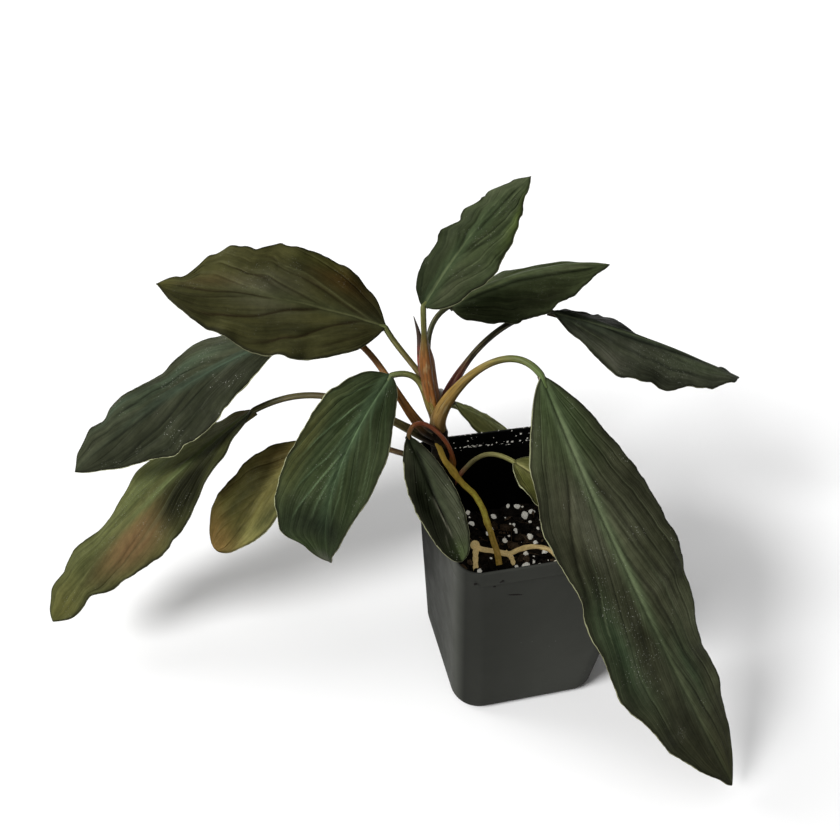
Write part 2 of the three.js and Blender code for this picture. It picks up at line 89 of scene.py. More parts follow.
# The soil, and the perlite that shows in front of the stem as (x, y, size)
SOIL_TOP = 47.5
SOIL_GRID = 110
BARK_COUNT = 620
PERLITE_COUNT = 130
FIBRE_COUNT = 60
PERLITE_SPOTS = [
    (-1.8, 25.3, 1.0), (5.3, 29.2, 0.8), (8.7, 27.9, 1.2), (10.3, 22.9, 1.5), (13.4, 24.6, 1.0),
    (-11.5, 28.5, 0.9), (-11.6, 22.7, 1.0), (4.2, 15.6, 1.0), (8.3, 10.9, 1.2), (-1.7, 11.3, 0.9),
    (1.9, -3.1, 1.4), (5.5, -0.8, 0.8), (11.1, 1.7, 1.1), (16.2, -1.0, 1.2), (13.5, -3.6, 0.8),
]

# Dark crumbs on the pot's front as (x, z, size), the ends of a dark scuff there as (x, z), and how many
# pale grains lie on the ledge and on the rim at its back
FRONT_CRUMBS = [(-29.6, 79.9, 0.6), (-20.3, 79.2, 0.65), (-22.6, 76.6, 0.45), (-20.9, 78.8, 0.35)]
SCUFF_ENDS = [(-17.5, 71), (-11.8, 69.6)]
LEDGE_GRAINS = 520
RIM_GRAINS = 26

# The stem, and its root nubs as (height, angle, size)
STEM_FOOT = 37
STEM_TOP = 104
STEM_RADIUS = 4.5
STEM_TOP_RADIUS = 2.4
SCAR_SPACING = 5.5
NUBS = [(80, 200, 2.2), (84, 320, 2.0), (74, 250, 2.4), (67, 160, 2.2), (61, 290, 2.0)]

# Roots and the rolled new leaf, as points on their centre lines
PROP_ROOT = [
    (-29, 19, 95), (-27.5, 14.5, 91), (-24.5, 13.8, 86), (-20.2, 13.6, 79), (-16, 13, 74),
    (-12.6, 11.4, 68), (-10.8, 8.2, 62), (-9, 5.4, 56), (-7.6, 1.6, 50), (-7, -2.5, 41),
]
SURFACE_ROOT = [
    (-14, 10.6, 48.6), (-12.4, 8.2, 49), (-7.7, 6.2, 48.9), (-2.6, 4.0, 48.7), (2, 5.0, 49),
    (7.6, 5.2, 49.2), (13.2, 2.8, 48.6), (16.4, -2.0, 46.5),
]
ROOT_BRANCH = [(-3.6, 5, 48.6), (-2.2, 2.6, 48.4), (-1.6, -0.4, 46.6)]
SHORT_ROOT = [(-13.8, 9.6, 48.8), (-15.2, 5.6, 49), (-16.4, 1.4, 48.8), (-17, -2.4, 46.4)]
ROOT_KNOB = (-14, 10.4, 49.2)
NEW_LEAF = [(-31.6, 24.6, 113), (-33, 30, 121.5), (-33, 35.6, 130), (-34, 40, 135)]

# Blade build
BLADE_STEP = 0.52
BLADE_THICKNESS = 0.6
EDGE_THICKNESS = 0.12
NECK_HALF_WIDTH = 1.1
TIP_HALF_WIDTH = 0.15
MARGIN_JAG = 0.07
MARGIN_CRIMP = 0.13
KEEL_DEPTH = 1.5

# Colours that all leaves share, in thousandths of red, green and blue as in the tables below
PALE_MARGIN = (460, 470, 270)
DARK_MARGIN = (8, 8, 5)
LEAF_DUST = (300, 310, 260)
# The stalks' dark streaks, also painted as shade on their under sides
STALK_STREAK_AND_SHADE = (22, 13, 5)

# One entry a leaf, as in the solids. First line: where the blade starts, its heading in plan and how
# far that turns, its rise above level, its dip at the tip and how late it bends, its length and width,
# its roll and twist, how far both halves fold up from the midrib and how much more they curl at the
# margin. Second: the plain outline's rise and fall, how many lobes lie along it, their (swell, phase)
# on the left and on the right, and the ripple's (height, count, phase). Third: the stalk's (height on
# the stem, two handles, radius), its sheath's (radius, start, end), how many veins leave the midrib,
# how far forward each leans, how deep the pleats between them are and how clearly the left and right
# margins show their pale edge. Last: bumps on the left and on the right margin as (place in hundredths
# of the length, size in millimetres, reach in hundredths).
LEAF_FIELDS = (
    "base", "heading", "turn", "rise", "dip", "bend", "length", "width", "roll", "twist", "fold", "curl",
    "shape", "count", "left", "right", "ripple", "stalk", "sheath", "veins", "lean", "pleat", "pale",
    "left_bumps", "right_bumps")
LEAVES = {
    "front": (
        (-3, -3, 136), -65, 24, -50, -56, 1.6, 161, 48.5, -7, -2, 6, -12,
        (0.72, 0.8), 2.2, (0.1, 132), (0.09, 302), (1.1, 5.5, 40),
        (100, (-33, 17, 113.5), (-12.5, 10.5, 148.5), 1.2), (2.6, 0.05, 0.7), 5, 0.8, 0.07, (0.1, 0.4),
        [(5, -1.2, 5), (19, 1.6, 3), (30, 0.9, 2), (41, -1.7, 6), (51, 1.8, 2.5), (66, -2.3, 5),
         (79, -2.3, 4), (92, 1.8, 5)],
        [(62, 1.2, 3), (70, -1, 3), (78, 2.1, 7), (95, -1.2, 4)]),
    "right": (
        (21, 52, 124), -14, 15, -14, -31, 1, 91, 36, -24, 44, -22, -14,
        (1.2, 1.2), 4.2, (0.04, 320), (0.07, 312), (1, 4, 200),
        (101, (-23.2, 29, 121.2), (1.5, 50.5, 125.2), 1.15), (2, 0.12, 0.42), 4.5, 0.8, 0.22, (0.12, 0.2),
        [(9, 3, 3), (33, 4.6, 6), (93.5, 2.4, 4)],
        [(20, 1.6, 5), (34, 1.2, 4), (44, 2.6, 4), (54, -0.8, 3), (71, 1.7, 7), (92, 2.6, 6)]),
    "upper_right": (
        (-21, 41, 137), 17, -1, 15, -17, 1, 72, 30, -7, -2, -21, -22,
        (0.56, 0.92), 3.7, (0.01, 0), (0.03, 340), (0.7, 3.5, 90),
        (108, (-30.5, 27, 119), (-34.5, 36.5, 133.5), 0.95), (1.3, 0.1, 0.4), 5, 0.8, 0.25, (0.3, 0.1),
        [(40, -2, 10), (65, -2.5, 15)],
        [(2, 1.5, 3), (27, 2.4, 4), (48, 1.8, 5), (88, -1, 6)]),
    "top": (
        (-34, 28, 146), 32, 8, 48, 4, 1, 64, 27, 7, -12, -6, -15,
        (0.47, 0.96), 4.4, (0.03, 150), (0.06, 350), (0.8, 3.5, 20),
        (103, (-32, 24, 114), (-35, 22.5, 137), 1), (2.7, 0.5, 0.8), 4, 0.8, 0.2, (0.05, 0.3),
        [(3, -1.2, 3), (25, 0.8, 3), (35, -1.9, 4), (45, 1.8, 3), (53, -1.6, 2.5), (61, 0.8, 2),
         (67.5, -2, 3), (80, 3.2, 5), (93, 1.5, 3)],
        [(36, 2.2, 7), (62, 1.2, 4), (78, -1.1, 6)]),
    "upper_left": (
        (-43, 44, 129), 165, -14, 19, -9, 1, 83, 48, 18, 5, 8, -12,
        (0.75, 1.06), 3.4, (0.03, 210), (0.04, 282), (0.9, 4.5, 130),
        (108, (-30, 25, 117.5), (-39.5, 39.5, 121.5), 1.05), (1.6, 0.1, 0.5), 4, 1.0, 0.22, (0.2, 0.05),
        [(10, 1.6, 5), (33, 1.8, 4), (67, -0.8, 3), (90, 0.7, 6)],
        [(6, 1.1, 4), (19, -0.8, 4), (28, 0.7, 4), (43, -2.2, 6), (53, 2.4, 3), (61, -1.5, 3), (75, 3, 5),
         (81, 1.8, 2), (87, -4.2, 5)]),
    "left": (
        (-74, 61, 119), 160, 36, -29, -37, 1.2, 102, 46, 4, 13, -2, -16,
        (0.87, 0.87), 1.6, (0.06, 160), (0.15, 266), (1, 4.5, 10),
        (97, (-44, 17, 102), (-42, 57, 133), 1.15), (1.9, 0.05, 0.45), 5, 0.8, 0.22, (0.6, 0.05),
        [(20, -0.8, 3), (28, 2.5, 4), (88, -0.9, 6)],
        [(40, 2, 7), (53, -4.6, 5), (66, -1.4, 3), (81, -2.6, 3), (88, 1.4, 2), (96, 1.5, 2)]),
    "lower_left": (
        (-90, 56, 90), 172, 53, -41, -31, 1.2, 112, 48.5, -10, 2, 0, -7,
        (0.74, 0.83), 1.6, (0.11, 162), (0.24, 255), (1.1, 4.5, 300),
        (93, (-46, 21, 104), (-60, 59, 103), 1.2), (1.7, 0.05, 0.4), 4.5, 0.8, 0.18, (0.1, 0.2),
        [(11, -3, 4), (22, 3.4, 4.5), (31, 3.4, 5), (45, 4, 6), (60, 0.8, 5), (70, 2.6, 5), (86, -2.4, 3),
         (96, 2, 4)],
        [(60, -3.2, 9), (73, -3.4, 4.5), (86, -1.6, 2), (92, 2.4, 3), (98, 1.6, 3)]),
    "small_left": (
        (-62, 51, 75), 189, 3, -23, -54, 1, 64, 31, 5, 6, 4, -2,
        (0.72, 0.57), 2.8, (0.01, 340), (0.01, 10), (0.6, 3, 60),
        (86, (-38, 17, 88.5), (-50, 48, 79), 1.05), (1.3, 0.05, 0.35), 4, 0.8, 0.2, (0.4, 0.15),
        [(66, 1, 10)],
        [(28, 1.3, 6), (49, 1.7, 8), (84, 2.2, 7)]),
    "centre": (
        (-44, 29, 119), 218, -1, -31, -106, 1.3, 79, 38.5, 20, -15, 24, 15,
        (0.7, 0.85), 1.6, (0.13, 225), (0.1, 48), (0.6, 3.5, 250),
        (104, (-33, 20.5, 112), (-32, 28, 122.5), 1.1), (2.3, 0.2, 0.75), 8.5, 0.75, 0.26, (0.2, 0.6),
        [(41, -1.7, 8), (86, -2.3, 8)],
        [(5, 1.2, 4), (16, -0.8, 3), (80, 2.6, 5)]),
    "rim": (
        (-42, 10, 107), 276, 11, -9, -39, 1, 47, 16, 3, 2, 3, -3,
        (0.71, 0.51), 3, (0.02, 110), (0.02, 180), (0.3, 2.5, 0),
        (78, (-16, 13, 90), (-37, 22.5, 114), 0.8), (1.6, 0.1, 0.35), 3.5, 0.8, 0.04, (0.45, 0.4),
        [],
        [(45, 0.8, 12)]),
    "inner": (
        (1, 19, 81), -43, -2, -11, -49, 1, 32, 21, -4, -2, 4, -1,
        (0.61, 0.7), 3, (0.01, 0), (0.01, 0), (0.4, 2.5, 120),
        (70, (-17, 19, 79.5), (-11, 29, 85.5), 0.9), (1.4, 0.1, 0.3), 3.5, 0.8, 0.2, (0.7, 0.9),
        [],
        []),
    "back": (
        (-13, 53, 85), 4, -1, -35, -50, 1, 50, 22, -1, -8, -9, -13,
        (0.68, 0.8), 3, (0.01, 0), (0.01, 20), (0.5, 3, 75),
        (104, (-25.5, 27, 116), (-22, 52, 94), 1.1), (1.6, 0.1, 0.4), 4, 0.8, 0.3, (0.2, 0.3),
        [(15, -1.9, 7), (35, 2.2, 5), (46, -2.2, 5)],
        []),
}

# Waves that only the left margin of a blade has, as bumps out of its plane
LEFT_LIFTS = {"right": [(30, 1.8, 6), (38.5, 5.2, 5), (65, -7, 24), (93, 5, 4.5)]}

# Creases and pale lines that stand out on a blade beside its even pleats, in hundredths: how deep a crease
# is in millimetres, or how clear a pale line is as a number below 0, and the places it runs through as
# (share of length, across), with across from -100 at the left margin to 100 at the right. Each crease's
# valley is darkened with painted shade; the pale lines are partly pale veins and partly painted highlights.
FOLDS = {
    "front": [
        [50, (18, -8), (30, -27), (42, -42), (52, -58), (60, -84)],
        [50, (25, -2), (40, -10), (50, -23), (60, -38), (76, -50)], [25, (15, -48), (24, -68), (33, -87)],
        [25, (27, -37), (36, -52), (44, -62), (50, -82)],
        [60, (18, 26), (24, 42), (30, 62), (40, 85), (47, 95)], [40, (36, 48), (44, 66), (54, 84)],
        [25, (8, 42), (14, 62), (26, 88)], [25, (56, -6), (70, -22), (88, -30)],
        [25, (50, 12), (66, 36), (80, 50)], [-50, (44, -34), (56, -50), (68, -62)],
        [-60, (33, 46), (42, 60), (50, 74), (60, 88)], [-30, (12, 26), (22, 56), (30, 84)]],
    "right": [
        [90, (4, -14), (20, 0), (36, 9), (80, 6)], [-50, (8, 36), (20, 42), (32, 54)],
        [50, (10, 22), (30, 34), (55, 52), (78, 66)], [30, (50, 20), (70, 34), (90, 40)]],
    "upper_right": [
        [-80, (6, 2), (35, 0), (60, 10), (92, 26)], [60, (6, 12), (35, 10), (60, 20), (92, 36)],
        [-30, (28, 18), (45, 42), (62, 62)], [40, (12, 24), (32, 50), (50, 74)]],
    "top": [
        [80, (46, 6), (62, 9), (78, 11), (92, 8)],
        [70, (34, -5), (48, -18), (56, -26), (61, -33), (67, -55)], [60, (40, -24), (48, -45), (52, -70)],
        [60, (34, 14), (47, 45), (60, 64), (72, 78)], [40, (60, 34), (80, 50)],
        [40, (10, 20), (22, 48), (32, 74)], [-50, (50, -5), (70, -12), (90, -15)],
        [-50, (58, 20), (75, 30), (86, 34)]],
    "upper_left": [
        [70, (8, -4), (20, -29), (33, -62), (43, -77), (53, -89)],
        [80, (26, -2), (40, -17), (50, -37), (60, -54), (80, -80)],
        [60, (47, -4), (62, -2), (75, -10), (93, -6)], [40, (6, 0), (15, 14), (30, 34), (44, 50)],
        [50, (48, 18), (56, 33), (62, 44), (72, 48)], [60, (49, 55), (56, 74), (61, 88)],
        [40, (5, -42), (12, -60), (28, -86)], [-80, (5, 4), (15, 20), (30, 40), (40, 54), (53, 61)],
        [-50, (27, 2), (44, 7)], [-40, (28, 12), (45, 22)], [-30, (12, -26), (24, -55), (38, -80)]],
    "left": [
        [70, (40, -8), (56, -36), (70, -52), (77, -67), (84, -84)], [50, (36, -46), (46, -67), (58, -84)],
        [60, (56, -6), (75, -10), (92, -4)], [70, (38, 22), (53, 40), (66, 46), (80, 50)],
        [40, (20, -20), (34, -40), (46, -56)], [-70, (18, 16), (30, 7), (44, 10), (62, 20)],
        [-40, (46, 42), (60, 60), (78, 76)]],
    "lower_left": [
        [50, (10, 2), (30, -2), (52, -8)], [-40, (8, 12), (28, 8), (50, 2)],
        [30, (40, 18), (60, 36), (82, 42)], [30, (50, -30), (66, -46), (80, -66)]],
    "small_left": [
        [30, (45, -12), (65, -34), (82, -40)], [30, (40, 20), (60, 42), (80, 46)]],
    "centre": [
        [-90, (14, 18), (28, 44), (37, 63), (48, 80)], [-80, (24, 10), (42, 28), (50, 45), (62, 70)],
        [-100, (38, 5), (50, 22), (62, 43), (74, 74)], [-70, (46, 5), (60, 17), (74, 32)],
        [-50, (4, 22), (12, 50), (21, 76)], [-70, (16, -8), (30, -44), (39, -64), (52, -80)],
        [-70, (36, 2), (48, -18), (58, -29), (74, -30)], [-40, (5, -6), (12, -45), (18, -68), (28, -88)],
        [-40, (25, -4), (40, -36), (56, -62)]],
    "rim": [
        [70, (10, -16), (28, -10), (53, 2), (82, -6)], [-120, (52, 10), (67, 7), (82, 0)],
        [-50, (80, 30), (90, 52)]],
    "back": [
        [30, (20, -10), (50, -40), (70, -60)], [30, (15, 10), (40, 40), (60, 70)]],
}

# Colours of each blade in thousandths: shade and light for the two ends of its green, band along the
# midrib, rib, shaded crease for the painted shade in the valleys, film for the greyish bloom and the painted
# highlights on ridges, under side, and pale lines where they aren't the rib's colour (on the rim leaf a
# painted highlight)
COLOUR_FIELDS = ("shade", "light", "band", "rib", "crease", "film", "under", "vein")
BLADE_COLOURS = {
    "front": ((15, 16, 9), (46, 50, 31), (60, 80, 44), (85, 105, 62), (6, 6, 4), (75, 77, 55),
              (70, 50, 30)),
    "right": ((16, 18, 11), (40, 44, 29), (36, 46, 30), (80, 95, 55), (6, 7, 5), (85, 88, 72),
              (60, 50, 30)),
    "upper_right": ((6, 9, 3), (18, 26, 10), (30, 44, 20), (35, 50, 20), (2, 3, 1), (25, 30, 16),
                    (50, 50, 25)),
    "top": ((14, 21, 9), (34, 45, 21), (30, 46, 22), (75, 98, 50), (6, 9, 4), (50, 55, 36), (70, 70, 30)),
    "upper_left": ((20, 19, 8), (38, 36, 14), (32, 34, 16), (70, 72, 35), (10, 6, 3), (50, 50, 32),
                   (60, 50, 25)),
    "left": ((9, 11, 6), (22, 25, 15), (17, 25, 17), (24, 37, 25), (4, 5, 3), (40, 42, 34), (60, 50, 25)),
    "lower_left": ((25, 26, 8), (50, 52, 18), (42, 50, 18), (60, 68, 28), (18, 17, 6), (55, 55, 30),
                   (70, 60, 25)),
    # These greens are painted lighter than the leaf's own, for light that shines through it in the others'
    # shade
    "small_left": ((85, 80, 24), (160, 150, 50), (140, 130, 45), (150, 145, 55), (50, 40, 12),
                   (200, 190, 100), (80, 70, 30)),
    "centre": ((17, 27, 10), (36, 50, 22), (40, 68, 34), (85, 135, 68), (8, 13, 5), (60, 70, 50),
               (70, 60, 30)),
    "rim": ((13, 15, 10), (18, 21, 14), (12, 16, 9), (12, 16, 9), (1, 1, 1), (24, 26, 18), (60, 50, 30),
            (240, 250, 200)),
    "inner": ((55, 60, 14), (95, 95, 28), (100, 100, 35), (200, 190, 80), (40, 40, 10), (120, 120, 60),
              (90, 80, 35)),
    "back": ((40, 44, 17), (70, 74, 30), (65, 75, 32), (90, 100, 50), (25, 27, 12), (100, 100, 60),
             (80, 80, 35)),
}

# How rough a blade is, and how clear its dust, pale veins and bloom (partly a painted sheen) are; where its
# rib ends and how wide it is; how dark the painted shade in its creases is, how streaked its green is and
# how clear the band is at the base; how much light is painted onto its left and right halves at the base and
# at the tip, lighter or darker; and its tint
FINISH_FIELDS = ("gloss", "dust", "lines", "bloom", "rib_end", "rib_width", "pleats", "lined", "foot",
                 "left_gain", "right_gain", "tint")
BLADE_FINISH = {
    "front": (0.42, 0.7, 0.15, 0.5, 0.7, 2.6, 0.15, 0.35, 0.25, (1.45, 1.45), (1.5, 1.2), (1, 1, 0.9)),
    "right": (0.42, 0.3, 0.35, 0.4, 0.9, 0.7, 0.25, 0.45, 1, (0.33, 0.7), (1.55, 1.65), (1, 1, 0.95)),
    "upper_right": (0.4, 0.2, 0.25, 0.2, 0.8, 0.7, 0.45, 0.6, 1, (5.0, 6.2), (1.6, 5.4), (1.1, 0.95, 1.05)),
    "top": (0.45, 0.2, 0.35, 0.35, 0.55, 0.7, 0.45, 0.6, 1, (0.42, 1.85), (0.9, 1.75), (1.02, 0.98, 0.92)),
    "upper_left": (0.48, 0.15, 0.5, 0.3, 0.5, 0.6, 0.45, 0.6, 1, (1.15, 0.85), (0.8, 1.55), (1, 1.02, 0.9)),
    "left": (0.45, 0.55, 0.25, 0.4, 0.6, 0.8, 0.45, 0.6, 1, (1.2, 1.05), (2.4, 1.6), (1.04, 1, 0.94)),
    "lower_left": (0.5, 0.3, 0.2, 0.3, 0.6, 0.8, 0.45, 0.6, 1, (1.1, 1.2), (3.4, 1.25), (0.96, 1, 1.05)),
    "small_left": (0.5, 0.3, 0.15, 0.5, 0.6, 0.7, 0.45, 0.6, 1, (0.35, 2.1), (1.0, 2.3), (1.03, 1, 0.95)),
    "centre": (0.38, 0.25, 0.75, 0.25, 0.8, 1.2, 0.45, 0.6, 1, (0.62, 0.75), (1.42, 1.28),
               (1.04, 0.97, 0.98)),
    "rim": (0.22, 0.7, 0.0, 0.1, 0.3, 0.16, 0.1, 0.4, 1, (1.9, 4.0), (1.3, 0.8), (1, 0.95, 0.85)),
    "inner": (0.5, 0.2, 0.15, 0.3, 0.7, 0.6, 0.45, 0.6, 1, (1.4, 1.6), (1.4, 1.6), (1, 1, 1)),
    "back": (0.5, 0.1, 0.15, 0.3, 0.8, 0.6, 0.45, 0.6, 1, (3.5, 3.5), (3.1, 3.1), (1.02, 1, 0.8)),
}

# Blotches on a blade as (share of length, across, reach along, reach across, strength, and a colour in
# thousandths)
BLOTCHES = {
    "front": [
        (0.06, 0, 0.2, 1.3, 0.75, 30, 52, 18), (0.55, 0.75, 0.22, 0.4, 0.6, 30, 58, 30),
        (0.38, 0.6, 0.09, 0.4, 0.6, 10, 10, 6), (0.70, -0.35, 0.16, 0.35, 0.4, 20, 40, 20),
        (0.25, 0.5, 0.16, 0.35, 0.5, 45, 44, 30), (0.3, -0.75, 0.22, 0.4, 0.6, 12, 12, 7),
        (0.6, 0.85, 0.3, 0.3, 0.6, 11, 12, 7), (0.31, 0.3, 0.15, 0.35, 0.6, 62, 64, 46),
        (0.31, 0.9, 0.15, 0.35, 0.7, 12, 12, 8), (0.12, 0.3, 0.12, 0.35, 0.6, 24, 30, 15),
        (0.10, -0.35, 0.14, 0.35, 0.6, 22, 30, 14), (1.0, 0, 0.28, 1.8, 0.8, 23, 22, 10)],
    "right": [
        (0.52, 0.85, 0.36, 0.5, 0.85, 10, 11, 7), (0.15, 0.45, 0.2, 0.35, 0.6, 6, 7, 4),
        (0.30, 0.75, 0.12, 0.3, 0.5, 45, 43, 33), (0.75, 0.3, 0.35, 0.45, 0.6, 38, 48, 26),
        (0.22, -0.6, 0.2, 0.5, 0.7, 110, 115, 90)],
    "upper_right": [
        (0.5, 0.7, 0.35, 0.35, 0.7, 4, 5, 2), (0.15, 0.2, 0.2, 0.4, 0.5, 20, 34, 12),
        # The pale streak near the middle of the left half is a painted highlight
        (0.5, -0.15, 0.4, 0.12, 0.7, 34, 40, 26), (0.7, 0.1, 0.3, 0.2, 0.5, 26, 30, 16),
        (0.5, -0.45, 0.5, 0.14, 0.6, 5, 8, 2)],
    "top": [
        (0.88, -0.3, 0.3, 1.2, 0.6, 44, 53, 30), (0.72, 0.95, 0.4, 0.35, 0.6, 46, 66, 14),
        (0.12, 0.5, 0.22, 0.6, 0.6, 40, 46, 26), (0.5, -0.6, 0.5, 0.5, 0.3, 30, 34, 24)],
    "upper_left": [
        (0.22, 0.7, 0.22, 0.5, 0.85, 34, 19, 5), (0.35, 0.9, 0.25, 0.3, 0.6, 45, 45, 12),
        (0.75, 0.15, 0.3, 0.3, 0.5, 34, 22, 11), (0.52, 0.05, 0.24, 0.6, 0.5, 60, 58, 42),
        (0.08, 0.1, 0.14, 0.7, 0.6, 14, 10, 4), (0.52, 0.85, 0.14, 0.35, 0.5, 60, 56, 22),
        (1.0, 0, 0.12, 1.5, 0.7, 50, 45, 12)],
    "left": [
        (0.5, 0.45, 0.4, 0.3, 0.5, 20, 33, 21), (0.75, 0.75, 0.2, 0.2, 0.4, 18, 31, 21)],
    "lower_left": [
        (0.62, -0.42, 0.28, 0.75, 0.9, 85, 48, 20), (0.32, -0.6, 0.26, 0.8, 1.0, 4, 4, 1.5),
        (0.38, -0.45, 0.16, 0.45, 1.0, 4, 4, 1.5), (0.45, 0.5, 0.25, 0.5, 0.5, 38, 46, 16),
        (0.02, 0.6, 0.16, 0.8, 0.7, 40, 26, 6), (0.95, 0, 0.16, 1.6, 0.7, 60, 54, 14)],
    "small_left": [
        (0.3, 0.5, 0.35, 0.9, 0.8, 50, 34, 10), (0.62, 0.35, 0.3, 0.4, 0.7, 100, 105, 45),
        (0.56, -0.8, 0.34, 0.6, 0.9, 40, 42, 16), (0.70, 0.9, 0.2, 0.4, 0.7, 34, 26, 9),
        (1.0, 0.1, 0.26, 1.8, 0.9, 270, 160, 55)],
    "centre": [
        (0.4, 0.85, 0.35, 0.35, 0.65, 44, 46, 14), (0.74, 0, 0.17, 1.9, 0.85, 7, 10, 6),
        (1.0, 0, 0.13, 1.9, 0.8, 75, 78, 62)],
    "rim": [
        (0.45, -0.6, 0.6, 0.7, 0.8, 18, 21, 14), (0.52, 0.5, 0.45, 0.8, 0.95, 3, 4, 2),
        (0.1, 0.8, 0.22, 0.6, 0.8, 26, 29, 18), (0.06, -0.5, 0.16, 0.8, 0.9, 4, 5, 3),
        (0.97, 0, 0.18, 1.5, 0.7, 18, 28, 10)],
}

# Colours of each stalk from its sheath to its blade, as (place in hundredths, colour in thousandths)
STALK_COLOURS = {
    "front": [(0, 200, 115, 34), (30, 200, 120, 28), (60, 170, 120, 28), (80, 85, 100, 24),
              (100, 100, 150, 50)],
    "right": [(0, 130, 35, 15), (25, 120, 26, 17), (40, 18, 17, 10), (100, 20, 24, 14)],
    "upper_right": [(0, 80, 45, 12), (40, 26, 28, 11), (100, 40, 48, 22)],
    "top": [(0, 200, 100, 18), (30, 200, 70, 14), (60, 160, 60, 14), (80, 70, 70, 14), (100, 80, 95, 24)],
    "upper_left": [(0, 140, 60, 12), (45, 100, 70, 16), (100, 70, 90, 26)],
    "left": [(7, 10, 8, 5), (20, 300, 130, 30), (45, 250, 105, 28), (70, 130, 66, 22), (100, 85, 66, 24)],
    "lower_left": [(8, 14, 10, 6), (20, 200, 170, 60), (60, 75, 60, 24), (100, 50, 54, 18)],
    "small_left": [(0, 80, 40, 12), (50, 65, 36, 10), (100, 90, 75, 18)],
    "centre": [(0, 150, 95, 18), (40, 120, 95, 22), (80, 75, 90, 24), (100, 80, 110, 35)],
    "rim": [(0, 500, 280, 40), (18, 500, 220, 40), (32, 360, 100, 35), (80, 300, 75, 35),
            (100, 160, 100, 30)],
    "inner": [(0, 340, 80, 40), (28, 420, 140, 80), (42, 360, 320, 130), (100, 320, 320, 110)],
    "back": [(0, 80, 45, 14), (50, 45, 40, 14), (100, 60, 68, 24)],
}


def rgb(*thousandths):
    """A colour from its red, green and blue in thousandths"""
    return tuple(part / 1000 for part in thousandths)


def stops(*rows):
    """Stops of a colour ramp from (place in hundredths, red, green, blue in thousandths)"""
    return [(place / 100, rgb(*colour)) for place, *colour in rows]


def smooth(low, high, x):
    """0 below low, 1 above high, and an even curve between"""
    t = np.clip((x - low) / (high - low), 0, 1)
    return t * t * (3 - 2 * t)


def blend(low, high, share):
    return low + (high - low) * share


def bell(x, centre, reach):
    """1 at the centre, falling off on both sides"""
    return np.exp(-(((x - centre) / reach) ** 2))


def unit(rows):
    return rows / np.linalg.norm(rows, axis=-1, keepdims=True)


# Node trees
class Value:
    """What a node gives, and the sums and mixes made from it"""

    def __init__(self, nodes, socket):
        self.nodes = nodes
        self.socket = socket

    def __add__(self, other):
        return self.nodes.math("ADD", self, other)

    def __sub__(self, other):
        return self.nodes.math("SUBTRACT", self, other)

    def __mul__(self, other):
        return self.nodes.math("MULTIPLY", self, other)

    def __truediv__(self, other):
        return self.nodes.math("DIVIDE", self, other)

    def spread(self, low, high, out_low=0.0, out_high=1.0, kind="SMOOTHSTEP"):
        """A smooth step between low and high"""
        return self.nodes.node("ShaderNodeMapRange", 0, dict(interpolation_type=kind), {
            "Value": self, "From Min": low, "From Max": high, "To Min": out_low, "To Max": out_high})

    def near(self, centre, reach):
        """1 at the centre, 0 where the value is reach away"""
        return self.nodes.math("ABSOLUTE", self - centre).spread(0, reach, 1, 0)

    def mix(self, share, other, kind="MIX"):
        return self.nodes.mix(share, self, other, kind)

    def scaled(self, by):
        """A colour with all its parts multiplied"""
        return self.nodes.node("ShaderNodeVectorMath", "Vector", dict(operation="SCALE"),
                               {"Vector": self, "Scale": by})

    def parts(self):
        """The three numbers of a vector"""
        split = self.nodes.node("ShaderNodeSeparateXYZ", 0, None, {0: self}).socket.node
        return [Value(self.nodes, socket) for socket in split.outputs]


class Nodes:
    """A node tree, with short calls for its nodes"""

    def __init__(self, tree):
        self.tree = tree

    def put(self, socket, value):
        """Gives a socket a number, a colour or another node's result"""
        if isinstance(value, Value):
            self.tree.links.new(value.socket, socket)
        elif socket.type == "RGBA":
            socket.default_value = (*value, 1)
        else:
            socket.default_value = value

    def node(self, kind, result, settings=None, values=None):
        made = self.tree.nodes.new(kind)
        for name, value in (settings or {}).items():
            setattr(made, name, value)
        for name, value in (values or {}).items():
            self.put(made.inputs[name], value)
        return Value(self, made.outputs[result])

    def math(self, operation, a, b=0.0):
        return self.node("ShaderNodeMath", 0, dict(operation=operation), {0: a, 1: b})

    def mix(self, share, a, b, kind="MIX"):
        return self.node("ShaderNodeMix", 2, dict(data_type="RGBA", blend_type=kind), {0: share, 6: a, 7: b})

    def ramp(self, value, rows):
        made = self.node("ShaderNodeValToRGB", 0, None, {0: value})
        elements = made.socket.node.color_ramp.elements
        while len(elements) < len(rows):
            elements.new(0.5)
        for element, (place, colour) in zip(elements, rows):
            element.position = place
            element.color = (*colour, 1)
        return made

    def attribute(self, name):
        return self.node("ShaderNodeAttribute", "Vector", dict(attribute_name=name)).parts()

    def place(self):
        return self.node("ShaderNodeTexCoord", "Object")

    def upward(self):
        """How far the surface faces up, from -1 to 1"""
        return self.node("ShaderNodeNewGeometry", "Normal").parts()[2]

    def noise(self, scale, detail=3.0, roughness=0.55, at=None):
        return self.node("ShaderNodeTexNoise", "Fac", None, {
            "Vector": at or self.place(), "Scale": scale, "Detail": detail, "Roughness": roughness})

    def streaks(self, x, y, seed, detail=3, roughness=0.6):
        """Noise drawn out over a surface by its own measures x and y"""
        at = self.node("ShaderNodeCombineXYZ", 0, None, {0: x, 1: y, 2: seed})
        return self.noise(1.0, detail, roughness, at)

    def cells(self, scale):
        return self.node("ShaderNodeTexVoronoi", "Distance", None, {"Vector": self.place(), "Scale": scale})

    def bump(self, height, distance, strength, over=None):
        values = {"Height": height, "Distance": distance, "Strength": strength}
        if over:
            values["Normal"] = over
        return self.node("ShaderNodeBump", "Normal", None, values)


